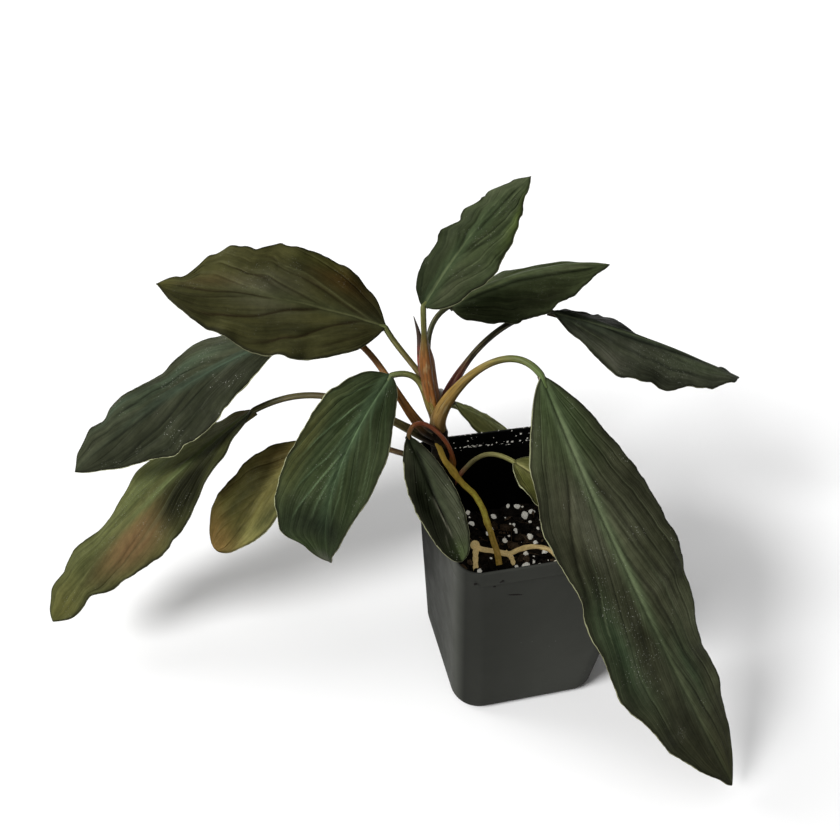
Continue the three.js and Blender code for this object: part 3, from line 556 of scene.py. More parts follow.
class Paint(Nodes):
    """A material and its shader"""

    def __init__(self, name, **shader):
        self.material = bpy.data.materials.new(name)
        self.material.use_nodes = True
        super().__init__(self.material.node_tree)
        self.shader = self.tree.nodes["Principled BSDF"].inputs
        for socket, value in shader.items():
            self.put(self.shader[socket.replace("_", " ")], value)

    def finish(self, colour, roughness, normal=None):
        self.put(self.shader["Base Color"], colour)
        self.put(self.shader["Roughness"], roughness)
        if normal:
            self.put(self.shader["Normal"], normal)
        return self.material


def blade_places(paint, look, seed):
    """Where a point lies on its blade, and the noise along the veins that all colours follow"""
    at = SimpleNamespace()
    at.share, at.across, at.vein = paint.attribute("blade_place")
    at.from_rib, at.from_edge, at.under = paint.attribute("blade_reach")
    at.dark, at.clear, _ = paint.attribute("blade_fold")
    at.right_half = paint.math("GREATER_THAN", at.across, 0)
    own = at.vein + at.right_half * 31
    at.streak = paint.streaks(own * 2.6, at.share * 2.6, seed, 4, 0.65)
    at.broad = paint.streaks(own * 1.1, at.share * 3, seed + 9, 3, 0.55)
    at.fine = paint.streaks(own * 12, at.share * 7, seed + 5)
    at.tone = paint.noise(34, 4, 0.6) * (1.15 - look.lined) + at.streak * look.lined
    at.foot = at.share.spread(0.02, 0.22, look.foot, 1)
    return at


def blade_green(paint, look, at, blotches):
    """Two greens with a greyish bloom that is partly a painted sheen, blotches, and a paler band along the
    middle
    """
    colour = paint.mix(at.tone.spread(0.36, 0.80), look.shade, look.light)
    bloom = paint.noise(55, 4, 0.65).spread(0.45, 0.7) * at.fine.spread(0.25, 0.75)
    colour = colour.mix(bloom * (look.bloom * 0.75), look.film)
    for place, side, along, wide, strength, *tint in blotches:
        patch = at.share.near(place, along) * at.across.near(side, wide)
        ragged = patch * at.tone.spread(0.3, 0.7, 0.6, 1.2)
        colour = colour.mix(ragged * strength, rgb(*tint))
    band_edge = at.from_rib + (at.streak - 0.5) * 4
    band = band_edge.spread(0.2, 4.4, 1, 0) * at.share.spread(0.4, 0.9, 1, 0.1)
    return colour.mix(band * (at.foot * 0.8), look.band)


def blade_veins(paint, look, at, colour, seed):
    """Painted shade in creases, painted highlights on ridges, pale veins, threads and the rib over a colour.
    Returns it with the relief they make.
    """
    number = paint.math("ROUND", at.vein)
    told = paint.node("ShaderNodeTexWhiteNoise", "Value", dict(noise_dimensions="1D"),
                      {"W": number + at.right_half * 57 + seed * 7})
    off = at.vein - number
    away = at.from_rib.spread(0.6, 3.5, 0.15, 1)
    shown = away * told.spread(0.1, 0.9)
    crease = off.near(0.035, 0.13) * shown * at.from_edge.spread(0.5, 3, 0.1, 1)
    ridge_highlight = off.near(-0.2, 0.2) * shown
    # Painted highlight on the pleat ridges, in the film's grey
    colour = colour.mix(ridge_highlight * at.broad.spread(0.4, 0.6, 0, 0.16), look.film)
    # Painted shade in the pleat valleys
    colour = colour.mix(crease * at.broad.spread(0.4, 0.6, look.pleats, 0.08), look.crease)
    broken = at.fine.spread(0.25, 0.6, 0.55, 1)
    # Painted shade in the valleys of the listed folds, then the pale lines, partly painted highlights
    colour = colour.mix(at.dark * broken, look.crease)
    colour = colour.mix(at.clear * (broken * 0.6), getattr(look, "vein", look.rib))
    line = off.near(-0.055, 0.07) * (away * told.spread(0.35, 1, 0, 1))
    colour = colour.mix(line * at.streak.spread(0.35, 0.65, 0.15, look.lines), look.rib)
    thread = paint.math("PINGPONG", at.vein * 3, 0.5).spread(0.0, 0.2, 1, 0)
    colour = colour.mix(thread * 0.10, look.light)
    colour = colour.mix(at.fine.spread(0.42, 0.72) * 0.10, look.film)
    core_edge = at.from_rib * at.share.spread(0, 0.9, 0.75, 1.7)
    rib_fade = at.share.spread(0.2, look.rib_end, 0.9, 0.08)
    core = core_edge.spread(0.15, look.rib_width, 1, 0) * (rib_fade * at.foot)
    return colour.mix(core, look.rib), at.fine * 0.6 + thread * -0.2 - crease * 0.9


def blade_light(paint, look, at, colour):
    """Mottles a colour, and paints light and shade on each half, lighter or darker towards the tip"""
    mottle = paint.noise(330, 5, 0.7).spread(0.3, 0.7, 0.87, 1.13) * at.broad.spread(0.36, 0.62, 0.8, 1.15)
    left_gain = at.share.spread(0, 1, *look.left_gain)
    right_gain = at.share.spread(0, 1, *look.right_gain)
    more = (right_gain - left_gain) * at.across.spread(-0.4, 0.4)
    return colour.scaled(mottle).mix(1.0, look.tint, "MULTIPLY").scaled(left_gain + more)


def blade_dust(paint, look, at, colour):
    """Pale specks in two sizes, most of them in the middle of the right half"""
    middle = at.share.near(0.55, 0.3) * at.across.near(0.35, 0.6)
    patchy = (paint.noise(110, 3) + middle * 0.16).spread(0.56, 0.66)
    for fineness, low, high in ((1150, 0.10, 0.22), (620, 0.07, 0.14)):
        specks = paint.cells(fineness).spread(low, high, 1, 0)
        colour = colour.mix(specks * patchy * look.dust, rgb(*LEAF_DUST))
    return colour


def blade_margin(paint, look, at, colour, pale_sides):
    """A dark margin with a thin pale edge, and the under side's own colour"""
    left_pale, right_pale = pale_sides
    colour = colour.mix(at.from_edge.spread(0.15, 1.5, 1, 0) * 0.75, rgb(*DARK_MARGIN))
    strength = at.right_half * (right_pale - left_pale) + left_pale
    edge = paint.math("LESS_THAN", at.from_edge, at.streak.spread(0.3, 0.7, 0.02, 0.3))
    return colour.mix(edge * strength, rgb(*PALE_MARGIN)).mix(at.under * 0.9, look.under)


def blade_paint(leaf, seed):
    """Green between arching veins, with a band, a rib, dust and a pale margin, and painted light and shade:
    in creases, on ridges and on each half
    """
    colours = {field: rgb(*colour) for field, colour in zip(COLOUR_FIELDS, BLADE_COLOURS[leaf.name])}
    look = SimpleNamespace(**colours, **dict(zip(FINISH_FIELDS, BLADE_FINISH[leaf.name])))
    paint = Paint(f"{leaf.name}_blade", IOR=1.045)
    at = blade_places(paint, look, seed)
    colour = blade_green(paint, look, at, BLOTCHES.get(leaf.name, ()))
    colour, grain = blade_veins(paint, look, at, colour, seed)
    colour = blade_light(paint, look, at, colour)
    colour = blade_dust(paint, look, at, colour)
    colour = blade_margin(paint, look, at, colour, leaf.pale)
    rough = at.streak.spread(0.3, 0.75, look.gloss - 0.05, look.gloss + 0.12)
    normal = paint.bump(paint.noise(900, 2), 0.00003, 0.5)
    return paint.finish(colour, rough, paint.bump(grain, 0.00022, 0.8, normal))


def stalk_paint(name):
    """Waxy stalk with fine lengthwise streaks and painted highlight streaks, its colour changing from sheath
    to blade, with painted shade on its under side
    """
    paint = Paint(f"{name}_petiole", IOR=1.22)
    share, turn, _ = paint.attribute("tube_place")
    lines = paint.streaks(turn * 26, share * 5, 2)
    light = paint.streaks(turn * 17, share * 7, 9)
    colour = paint.ramp(share, stops(*STALK_COLOURS[name]))
    colour = colour.mix(lines.spread(0.38, 0.68, 0, 0.62), rgb(*STALK_STREAK_AND_SHADE))
    # Painted highlight streaks along the stalk
    colour = colour.mix(light.spread(0.52, 0.72, 0, 0.5), rgb(300, 250, 120))
    # Painted shade on the stalk's under side
    colour = colour.mix(paint.upward().spread(-0.6, 0.2, 0.6, 0), rgb(*STALK_STREAK_AND_SHADE))
    return paint.finish(colour, lines.spread(0.3, 0.7, 0.34, 0.5), paint.bump(lines, 0.00012, 0.6))


def pot_paint():
    """Charcoal satin plastic with a fine moulded grain, faint scuffs and dust, painted light and shade round
    its walls and near black painted shade inside
    """
    paint = Paint("pot_plastic", IOR=1.04)
    colour = paint.mix(paint.noise(24, 4, 0.6).spread(0.35, 0.7), rgb(44, 45.5, 39.5), rgb(51, 52.5, 46))
    x, y, z = paint.place().parts()
    half = z * 0.077 + 0.028
    x_share, y_share = x / half, y / half
    around = (x_share - y_share).spread(-1.7, 1.7, kind="LINEAR")
    # Painted light and shade round the two walls in view
    painted_shading = paint.ramp(around, [(place, (tone,) * 3) for place, tone in WALL_LIGHT_AND_SHADE])
    # Painted light: the lower part of the left wall is lifted towards full tone
    low = z.spread(0.0, 0.07, 0.35, 0) * around.spread(0.35, 0.5, 1, 0)
    # Painted shade: the two hidden sides take the flat back shade
    facing = (x_share + y_share).spread(-0.3, 0.1, 1, 0)
    painted_shading = paint.mix(facing, (BACK_SHADE,) * 3, painted_shading.mix(low, (1, 1, 1)))
    # Painted shade: the inside of the wall, behind its outer face, is painted near black
    corner = z * -0.03 + 0.0105
    over = [paint.math("MAXIMUM", paint.math("ABSOLUTE", v) - (half - corner), 0) for v in (x, y)]
    outward = paint.math("SQRT", over[0] * over[0] + over[1] * over[1]) - corner
    colour = colour.mix(1.0, painted_shading, "MULTIPLY").mix(outward.spread(-0.0009, -0.0003, 1, 0), rgb(4, 4, 3.6))
    specks = paint.cells(330).spread(0.05, 0.11, 1, 0) * paint.noise(45, 2).spread(0.58, 0.68)
    colour = colour.mix(specks * 0.5, rgb(200, 200, 190))
    rough = paint.noise(90, 4, 0.65).spread(0.3, 0.7, 0.36, 0.5)
    return paint.finish(colour, rough, paint.bump(paint.noise(2200, 2), 0.00002, 0.45))


def soil_paint():
    paint = Paint("soil_bed", Specular_IOR_Level=0.25)
    colour = paint.mix(paint.noise(420, 4, 0.7).spread(0.4, 0.7), rgb(6, 5, 4), rgb(26, 18, 12))
    return paint.finish(colour, 0.9, paint.bump(paint.noise(900, 5, 0.7), 0.0006, 0.9))


def bark_paint():
    paint = Paint("soil_bark", Specular_IOR_Level=0.12)
    colour = paint.ramp(paint.attribute("chunk_tone")[0], stops(
        (0, 6, 5, 4), (55, 20, 14, 9), (80, 100, 66, 40), (100, 200, 135, 80)))
    grain = paint.noise(700, 5, 0.7)
    colour = colour.mix(grain.spread(0.4, 0.7, 0, 0.5), rgb(8, 6, 4))
    return paint.finish(colour, 0.85, paint.bump(grain, 0.0004, 0.8))


def perlite_paint():
    # The perlite and pale grains glow a little: painted light that lifts them in the pot's shade
    paint = Paint("perlite", Specular_IOR_Level=0.3, Emission_Strength=0.22,
                  Emission_Color=rgb(900, 880, 780))
    colour = paint.ramp(paint.attribute("chunk_tone")[0], stops(
        (0, 820, 820, 760), (60, 880, 850, 760), (100, 760, 640, 380)))
    colour = colour.mix(paint.cells(1400).spread(0.1, 0.5) * 0.35, rgb(220, 190, 140))
    return paint.finish(colour, 0.85, paint.bump(paint.noise(1500, 4, 0.7), 0.0003, 0.9))


def stem_paint():
    paint = Paint("stem_bark", IOR=1.1)
    colour = paint.ramp(paint.noise(220, 5, 0.65), stops(
        (35, 5, 4, 3), (55, 16, 12, 8), (75, 60, 45, 25)))
    return paint.finish(colour, 0.7, paint.bump(paint.noise(800, 5, 0.7), 0.0004, 0.8))


def root_paint(name, rows, streak, painted_glow=0.0):
    """A root's skin, from the stops of its colour along it and the colour of its streaks, with painted shade
    on its under side and a painted glow where one is given
    """
    paint = Paint(name, IOR=1.15, Emission_Strength=painted_glow, Emission_Color=rgb(*rows[1][1:]))
    share, turn, _ = paint.attribute("tube_place")
    lines = paint.streaks(turn * 5, share * 9, 1, 4, 0.65)
    colour = paint.ramp(share, stops(*rows)).mix(lines.spread(0.38, 0.68, 0, 0.85), rgb(*streak))
    colour = colour.mix(paint.noise(500, 4).spread(0.5, 0.7, 0, 0.6), rgb(*streak))
    # Painted shade: the under side is darkened towards a deeper streak colour
    shade = [0.35 * part for part in rgb(*streak)]
    colour = colour.mix(paint.upward().spread(-0.6, 0.15, 0.75, 0), shade)
    return paint.finish(colour, 0.55, paint.bump(paint.noise(700, 4, 0.6), 0.0002, 0.7))


def floor_paint():
    paint = Paint("floor_white", Specular_IOR_Level=0.1)
    return paint.finish(paint.mix(paint.noise(3, 2), FLOOR_WHITE, FLOOR_LIGHT), 0.9)


# Meshes
def placed(name, data):
    """A new object with its data, in the scene"""
    made = bpy.data.objects.new(name, data)
    bpy.context.scene.collection.objects.link(made)
    return made


def new_mesh(name, points, faces):
    """A mesh in metres from points in millimetres"""
    mesh = bpy.data.meshes.new(name)
    mesh.from_pydata((np.asarray(points) * MM).tolist(), [], [tuple(face) for face in faces])
    return mesh


def make_piece(name, points, faces, material, nodes=(), marks=None, sharp=50):
    """A smooth mesh piece, riding on the one body"""
    mesh = new_mesh(name, points, faces)
    for mark, rows in (marks or {}).items():
        stored = mesh.attributes.new(mark, "FLOAT_VECTOR", "POINT")
        stored.data.foreach_set("vector", np.asarray(rows, np.float32).ravel())
    mesh.shade_smooth()
    mesh.set_sharp_from_angle(angle=math.radians(sharp))
    mesh.materials.append(material)
    piece = placed(name, mesh)
    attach(piece, "root")
    if nodes:
        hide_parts(*nodes)
    return piece


def joined(parts):
    """Several (points, faces, marks) as one"""
    points, faces, marks, start = [], [], [], 0
    for some, theirs, told in parts:
        points.append(some)
        marks.append(told)
        faces += [[start + k for k in face] for face in theirs]
        start += len(some)
    return np.concatenate(points), faces, np.concatenate(marks)


def make_tubes(name, tubes, material, node):
    """One piece from swept tubes"""
    points, faces, marks = joined(tubes)
    make_piece(name, points, faces, material, [node], {"tube_place": marks})


def make_grains(name, grains, material, sharp):
    """One piece from loose grains, each with its points, faces and tone"""
    parts = [(points, faces, np.full((len(points), 3), tone)) for points, faces, tone in grains]
    points, faces, marks = joined(parts)
    make_piece(name, points, faces, material, (), {"chunk_tone": marks}, sharp)


def grid_faces(rows, columns, closed=False, start=0):
    """Four-sided faces between rows of points, with the columns joined in a ring if closed"""
    last = columns if closed else columns - 1
    i, j = np.meshgrid(np.arange(rows - 1), np.arange(last), indexing="ij")
    a = start + i * columns + j
    b = start + i * columns + (j + 1) % columns
    return np.stack([a, b, b + columns, a + columns], -1).reshape(-1, 4)


def grid_border(rows, columns):
    """The numbers of the points round a grid"""
    at = np.arange(rows * columns).reshape(rows, columns)
    return np.r_[at[0, :-1], at[:-1, -1], at[-1, :0:-1], at[:0:-1, 0]]


def sheet_faces(rows, columns):
    """Faces of an upper grid, a lower grid and the rim between them"""
    under = rows * columns
    border = grid_border(rows, columns)
    onward = np.roll(border, -1)
    rim = np.stack([border, under + border, under + onward, onward], 1)
    return np.concatenate([grid_faces(rows, columns), grid_faces(rows, columns, False, under)[:, ::-1], rim])


def ring_body(rings):
    """Faces of a closed body through equal rings, with a fan at each end"""
    rows, count = rings.shape[:2]
    first = list(range(count))
    last = list(range((rows - 1) * count, rows * count))
    return grid_faces(rows, count, True).tolist() + [first[::-1], last]


def resample(points, count):
    """Points evenly spaced by length along a fine path"""
    walked = np.r_[0, np.cumsum(np.linalg.norm(np.diff(points, axis=0), axis=1))]
    wanted = np.linspace(0, walked[-1], count)
    return np.stack([np.interp(wanted, walked, points[:, k]) for k in range(3)], 1)


def bezier(start, first, second, end, count):
    t = np.linspace(0, 1, 300)[:, None]
    a, b, c, d = (np.array(p, float) for p in (start, first, second, end))
    fine = a * (1 - t) ** 3 + 3 * b * t * (1 - t) ** 2 + 3 * c * t * t * (1 - t) + d * t ** 3
    return resample(fine, count)


def spline(points, count):
    """A smooth path through points, of Catmull and Rom's kind with centripetal spacing"""
    rows = [np.array(p, float) for p in points]
    rows = [2 * rows[0] - rows[1], *rows, 2 * rows[-1] - rows[-2]]
    fine = []
    for p0, p1, p2, p3 in zip(rows, rows[1:], rows[2:], rows[3:]):
        k1, k2, k3 = np.cumsum([np.linalg.norm(b - a) ** 0.5 for a, b in ((p0, p1), (p1, p2), (p2, p3))])
        t = np.linspace(k1, k2, 30)[:, None]
        a1 = (k1 - t) / k1 * p0 + t / k1 * p1
        a2 = (k2 - t) / (k2 - k1) * p1 + (t - k1) / (k2 - k1) * p2
        a3 = (k3 - t) / (k3 - k2) * p2 + (t - k2) / (k3 - k2) * p3
        b1 = (k2 - t) / k2 * a1 + t / k2 * a2
        b2 = (k3 - t) / (k3 - k1) * a2 + (t - k1) / (k3 - k1) * a3
        fine.append((k2 - t) / (k2 - k1) * b1 + (t - k1) / (k2 - k1) * b2)
    return resample(np.concatenate(fine), count)


def sweep(path, radius_at, sides, facing=(0, 0, 1)):
    """A closed tube along a path. radius_at gives the radius for shares and angles; angle 0 faces the
    given way at the start. Returns points, faces and each point's share, angle and radius."""
    ahead = unit(np.gradient(path, axis=0))
    side = np.array(facing, float)
    share = np.linspace(0, 1, len(path))
    angles = np.arange(sides) / sides * TURN
    radius = radius_at(share[:, None], angles[None, :]) * np.ones((len(path), sides))
    rings = np.empty((len(path), sides, 3))
    for i, tangent in enumerate(ahead):
        side = side - tangent * (side @ tangent)
        side /= np.linalg.norm(side)
        cross = np.cross(tangent, side)
        round_it = np.cos(angles)[:, None] * side + np.sin(angles)[:, None] * cross
        rings[i] = path[i] + radius[i][:, None] * round_it
    marks = np.stack(np.broadcast_arrays(share[:, None], angles[None, :] / TURN, radius), -1)
    return rings.reshape(-1, 3), ring_body(rings), marks.reshape(-1, 3)


def uneven(points, size, seed, fineness):
    """A cheap smooth random field in three dimensions, from crossing waves"""
    rng = np.random.default_rng(seed)
    total = np.zeros(len(points))
    for k in range(7):
        wave = rng.normal(size=3) * fineness * (1 + 0.35 * k)
        total += np.sin(points @ wave + rng.uniform(0, TURN)) / (1 + 0.3 * k)
    return total * size / 3


# Leaves
def half_width(leaf, share, side):
    """The outline's half width at shares of the length, on one side"""
    rise, fall = leaf.shape
    widest = rise / (rise + fall)
    plain = share ** rise * (1 - share) ** fall / (widest ** rise * (1 - widest) ** fall)
    swell, phase = leaf.right if side > 0 else leaf.left
    lobe = swell * np.sin(TURN * leaf.count * share + math.radians(phase))
    width = leaf.width / 2 * plain * (1 + lobe * np.minimum(1, 6 * share * (1 - share)))
    for at, size, reach in leaf.right_bumps if side > 0 else leaf.left_bumps:
        bump = size * bell(share, at / 100, reach / 100)
        width = width + bump * np.sqrt(np.minimum(1, 30 * (1 - share)))
    walked = leaf.length * share
    jags = np.sin(0.9 * walked + leaf.heading + side) + 0.7 * np.sin(2.1 * walked - leaf.heading)
    width = width + MARGIN_JAG * jags * np.minimum(1, 8 * share * (1 - share))
    return np.maximum(np.maximum(width, NECK_HALF_WIDTH * (1 - share) ** 4), TIP_HALF_WIDTH)


def midrib(leaf, rows):
    """Places and frames along a blade: place, right and up at each share of the length"""
    fine = 8
    share = np.linspace(0, 1, (rows - 1) * fine + 1)
    yaw = np.radians(leaf.heading + leaf.turn * share)
    pitch = np.radians(blend(leaf.rise, leaf.dip, share ** leaf.bend))
    roll = np.radians(leaf.roll + leaf.twist * share)[:, None]
    ahead = np.stack([np.cos(pitch) * np.cos(yaw), np.cos(pitch) * np.sin(yaw), np.sin(pitch)], 1)
    level = np.stack([np.sin(yaw), -np.cos(yaw), 0 * yaw], 1)
    above = np.cross(level, ahead)
    right = level * np.cos(roll) + above * np.sin(roll)
    up = above * np.cos(roll) - level * np.sin(roll)
    step = leaf.length / ((rows - 1) * fine)
    place = np.array(leaf.base, float) + np.r_[[[0, 0, 0]], np.cumsum(ahead[:-1] * step, axis=0)]
    return share[::fine], place[::fine], right[::fine], up[::fine]


def vein_at(leaf, share, across):
    """A count that grows along the blade and is a whole number along each vein"""
    reach = np.abs(across)
    return leaf.veins * (share - leaf.lean * (0.75 * reach + 0.25 * reach ** 2))


def blade_middle(leaf, share, across, from_rib, place, right, up):
    """Points halfway through a blade, and the way its upper face looks at each"""
    side = np.sign(across)
    reach = np.abs(across)
    tilt = np.radians(leaf.fold + leaf.curl * reach / 2)
    height, count, phase = leaf.ripple
    turns = TURN * count * share + side * math.radians(phase)
    calm = np.minimum(1, 6 * share * (1 - share))
    wave = height * reach ** 3 * (np.sin(turns) + 0.5 * np.sin(1.7 * turns + 1)) * calm
    crimp = MARGIN_CRIMP * reach ** 8 * np.sin(TURN * count * 3.1 * share + side) * calm
    lift = np.zeros_like(from_rib)
    for at, size, spread in LEFT_LIFTS.get(leaf.name, ()):
        lift = lift + (side < 0) * size * reach ** 1.5 * bell(share, at / 100, spread / 100)
    rise = from_rib * np.sin(tilt) + wave + crimp + lift
    out = (side * from_rib * np.cos(tilt))[..., None] * right[:, None, :]
    middle = place[:, None, :] + out + rise[..., None] * up[:, None, :]
    face = np.cos(tilt)[..., None] * up[:, None, :] - (side * np.sin(tilt))[..., None] * right[:, None, :]
    return middle, face


def blade_relief(leaf, share, across, from_rib, vein, seed):
    """How far the upper face stands above the smooth blade: rib groove, and pleats with sharp valleys"""
    rng = np.random.default_rng(seed)
    strength = rng.uniform(0.25, 1, (2, 60))
    skewed = vein + 0.09 * np.sin(TURN * vein)
    number = np.floor(skewed).astype(int)
    half = np.broadcast_to((across > 0).astype(int), number.shape)
    inside = skewed - number
    low, high = strength[half, number + 20], strength[half, number + 21]
    depth = blend(low, high, smooth(0.2, 0.8, inside))
    pleats = depth * (np.sin(math.pi * inside) ** 0.75 - 0.6)
    pleats += 0.10 * (np.abs(np.sin(math.pi * (skewed * 3))) - 0.6)
    side = np.sign(across)
    reach = np.abs(across)
    shift = rng.uniform(0, TURN, 3)
    swell = np.sin(TURN * (1.1 * reach - 0.5 * share) + side * 0.8 + shift[0])
    swell = swell + 0.6 * np.sin(TURN * (0.7 * reach + 1.6 * share) + side + shift[1])
    fade = smooth(0.3, 4.5, from_rib) * smooth(0, 0.12, share) * (1 - smooth(0.9, 1, share))
    fade = fade * (1 - 0.7 * smooth(0.8, 1, reach))
    groove = -0.42 * bell(from_rib, 0, 0.55) * (1 - share) ** 0.6
    shoulder = 0.2 * bell(from_rib, 1.5, 0.9) * (1 - share)
    return leaf.pleat * (1.3 * pleats + 0.9 * swell) * fade + groove + shoulder


def fold_marks(name, share, across, wide):
    """Relief of a blade's own creases, how much painted shade darkens their valleys, and how clear its pale
    lines are, which are partly painted highlights
    """
    relief, dark, pale = np.zeros((3, *np.broadcast_shapes(share.shape, across.shape)))
    for hundredths, *places in FOLDS.get(name, ()):
        depth = hundredths / 100
        line = spline([(s / 100, a / 100, 0) for s, a in places], 80)
        off = (across - np.interp(share, line[:, 0], line[:, 1])) * wide
        start, end = line[0, 0], line[-1, 0]
        shown = smooth(start - 0.03, start + 0.07, share) * (1 - smooth(end - 0.12, end + 0.03, share))
        if depth > 0:
            valley = np.exp(-np.abs(off) / 0.8) - 0.55 * bell(np.abs(off), 2.4, 1.6)
            relief = relief - 0.6 * depth * valley * shown
            dark = np.maximum(dark, min(1, 1.4 * depth) * shown * bell(off, 0, 0.65))
        else:
            pale = np.maximum(pale, -1.25 * depth * shown * bell(off, 0, 0.27))
            relief = relief - 0.25 * depth * shown * bell(off, 0, 0.6)
    return relief, dark, pale


def both_faces(*measures):
    """Three measures of each point of a grid, for the upper and then the lower face"""
    return np.tile(np.stack(np.broadcast_arrays(*measures), -1).reshape(-1, 3), (2, 1))


def make_blade(leaf, seed):
    """A closed thin blade with a finer surface than its solid, in the same form"""
    rows = round(leaf.length / BLADE_STEP) + 1
    half_columns = round(leaf.width / 2 / BLADE_STEP)
    reach = np.r_[np.linspace(0, 0.96, half_columns), 0.975, 0.987, 0.995, 1]
    across = np.r_[-reach[:0:-1], reach][None, :]
    share, *frames = midrib(leaf, rows)
    share = share[:, None]
    wide = np.where(across > 0, half_width(leaf, share, 1), half_width(leaf, share, -1))
    from_rib = np.abs(across) * wide
    from_edge = (1 - np.abs(across)) * wide
    vein = vein_at(leaf, share, across)
    middle, face = blade_middle(leaf, share, across, from_rib, *frames)
    folds, dark, pale = fold_marks(leaf.name, share, across, wide)
    relief = blade_relief(leaf, share, across, from_rib, vein, seed) + folds
    thin = blend(EDGE_THICKNESS, BLADE_THICKNESS, smooth(0, 0.5, from_edge)) * smooth(-0.1, 0.03, 1 - share)
    keel = KEEL_DEPTH * (1 - share) ** 1.6 * bell(from_rib, 0, 1.0) + 0.12 * bell(from_rib, 0, 0.6)
    top = middle + face * (thin / 2 + relief)[..., None]
    bottom = middle + face * (relief * 0.85 - thin / 2 - keel)[..., None]
    points = np.concatenate([top.reshape(-1, 3), bottom.reshape(-1, 3)])
    marks = {"blade_place": both_faces(share, across, vein),
             "blade_reach": both_faces(from_rib, from_edge, 0 * share),
             "blade_fold": both_faces(dark, pale, 0 * dark)}
    marks["blade_reach"][len(points) // 2:, 2] = 1
    faces = sheet_faces(rows, across.shape[1])
    material = blade_paint(leaf, seed)
    make_piece(f"{leaf.name}_leaf", points, faces, material, [f"{leaf.name}_blade"], marks, 70)


def make_stalk(leaf):
    """A stalk that sheathes the stem at its foot, grooved above, and runs into the blade's rib"""
    from_height, first, second, radius = leaf.stalk
    sheath_radius, sheath_from, sheath_to = leaf.sheath
    start = stem_centre(from_height)
    path = bezier(start, first, second, leaf.base, 110)
    _, place, _, up = midrib(leaf, 80)
    reach = path[-1] + (place[2] - place[0]) - up[0] * 0.55
    path = np.concatenate([path, [blend(path[-1], reach, 0.5) - up[0] * 0.1, reach]])

    def radius_at(share, angle):
        bare = smooth(sheath_from, sheath_to, share)
        turned = (angle + math.pi) % TURN - math.pi
        groove = bell(turned, 0, 0.5)
        wings = bell(np.abs(turned), 0.95, 0.3)
        round_one = blend(sheath_radius, radius, bare) * (1 - 0.25 * smooth(0.97, 1, share))
        return round_one * (1 - (0.10 + 0.38 * (1 - bare)) * groove + 0.22 * (1 - bare) * wings)

    inward = (start - path[40]) * (1, 1, 0) + (0, 0, 1)
    tube = sweep(path, radius_at, 40, inward)
    make_tubes(f"{leaf.name}_stalk", [tube], stalk_paint(leaf.name), f"{leaf.name}_petiole")


# Stem and roots
def stem_centre(z):
    share = min(max((z - SOIL_TOP) / 62, 0), 1)
    return np.array([-22 - 7 * share ** 0.8, 18.5 + 2.5 * share, z])


def make_stem():
    """The ringed stem with its root nubs"""
    heights = np.linspace(STEM_FOOT, STEM_TOP + 3, 190)
    path = np.array([stem_centre(z) for z in heights])

    def radius_at(share, angle):
        z = blend(heights[0], heights[-1], share)
        slant = z + 0.9 * np.sin(angle + z * 0.35)
        scar = np.cos(TURN * slant / SCAR_SPACING / 2) ** 2
        body = blend(STEM_RADIUS, STEM_TOP_RADIUS, smooth(78, STEM_TOP, z))
        lumps = 0.16 * np.sin(3 * angle + z * 0.8) + 0.12 * np.sin(7 * angle - z * 1.7)
        return body * 0.97 + 0.5 * scar ** 10 - 0.2 * scar ** 40 + lumps

    tubes = [sweep(path, radius_at, 56, (1, 0, 0))]
    for z, angle, size in NUBS:
        around = math.radians(angle)
        out = np.array([math.cos(around), math.sin(around), -0.25])
        start = stem_centre(z) + out * (STEM_RADIUS - 1.6)
        nub_path = start + np.linspace(0, 1, 14)[:, None] * out * (size + 2.2)
        tubes.append(sweep(nub_path, lambda s, a, r=size: r / 2 * np.sqrt(np.maximum(1.02 - s ** 3, 0)), 18))
    make_tubes("stem_body", tubes, stem_paint(), "stem")


def make_prop_root():
    """The root that leans from the stem into the soil, with a collar and a joint"""
    def radius_at(share, angle):
        collar = 0.35 * bell(share, 0.2, 0.05) + 0.14 * bell(share, 0.62, 0.02)
        lumps = 0.05 * np.sin(share * 50 + angle) + 0.03 * np.sin(share * 90 - 2 * angle)
        return 1.16 * (0.85 + 0.2 * share) + collar + lumps

    rows = [(0, 240, 150, 30), (22, 460, 300, 50), (40, 400, 420, 55), (58, 400, 420, 70),
            (70, 560, 400, 110), (82, 700, 430, 160)]
    # The prop root's skin glows faintly: painted light
    material = root_paint("prop_root_skin", rows, (140, 120, 18), 0.14)
    tube = sweep(spline(PROP_ROOT, 130), radius_at, 28)
    make_tubes("prop_root_body", [tube], material, "prop_root")


def root_tube(points, radius, count, seed):
    """A root with slight swellings, thinner towards its end"""
    def radius_at(share, angle):
        swell = 1 + 0.09 * np.sin(share * 23 + seed) + 0.05 * np.sin(share * 61 + 2 * angle + seed)
        return radius * swell * (1.05 - 0.2 * share)

    return sweep(spline(points, count), radius_at, 22)


def make_surface_roots():
    """Three roots on the soil and the knob they leave from"""
    def knob_radius(share, angle):
        return 1.75 * np.sqrt(np.maximum(1.03 - (2 * share - 1) ** 2, 0))

    knob_path = np.array(ROOT_KNOB) + np.linspace(-1.7, 1.7, 14)[:, None] * np.array([0.3, 0.2, 1])
    tubes = [root_tube(SURFACE_ROOT, 1.0, 90, 1), root_tube(ROOT_BRANCH, 0.95, 26, 2),
             root_tube(SHORT_ROOT, 1.05, 40, 3), sweep(knob_path, knob_radius, 22, (1, 0, 0))]
    rows = [(0, 740, 600, 320), (50, 720, 540, 240), (100, 720, 580, 300)]
    # The surface roots' skin glows: painted light for roots in the pot's shade
    material = root_paint("surface_root_skin", rows, (300, 180, 60), 0.24)
    make_tubes("surface_roots_body", tubes, material, "surface_roots")


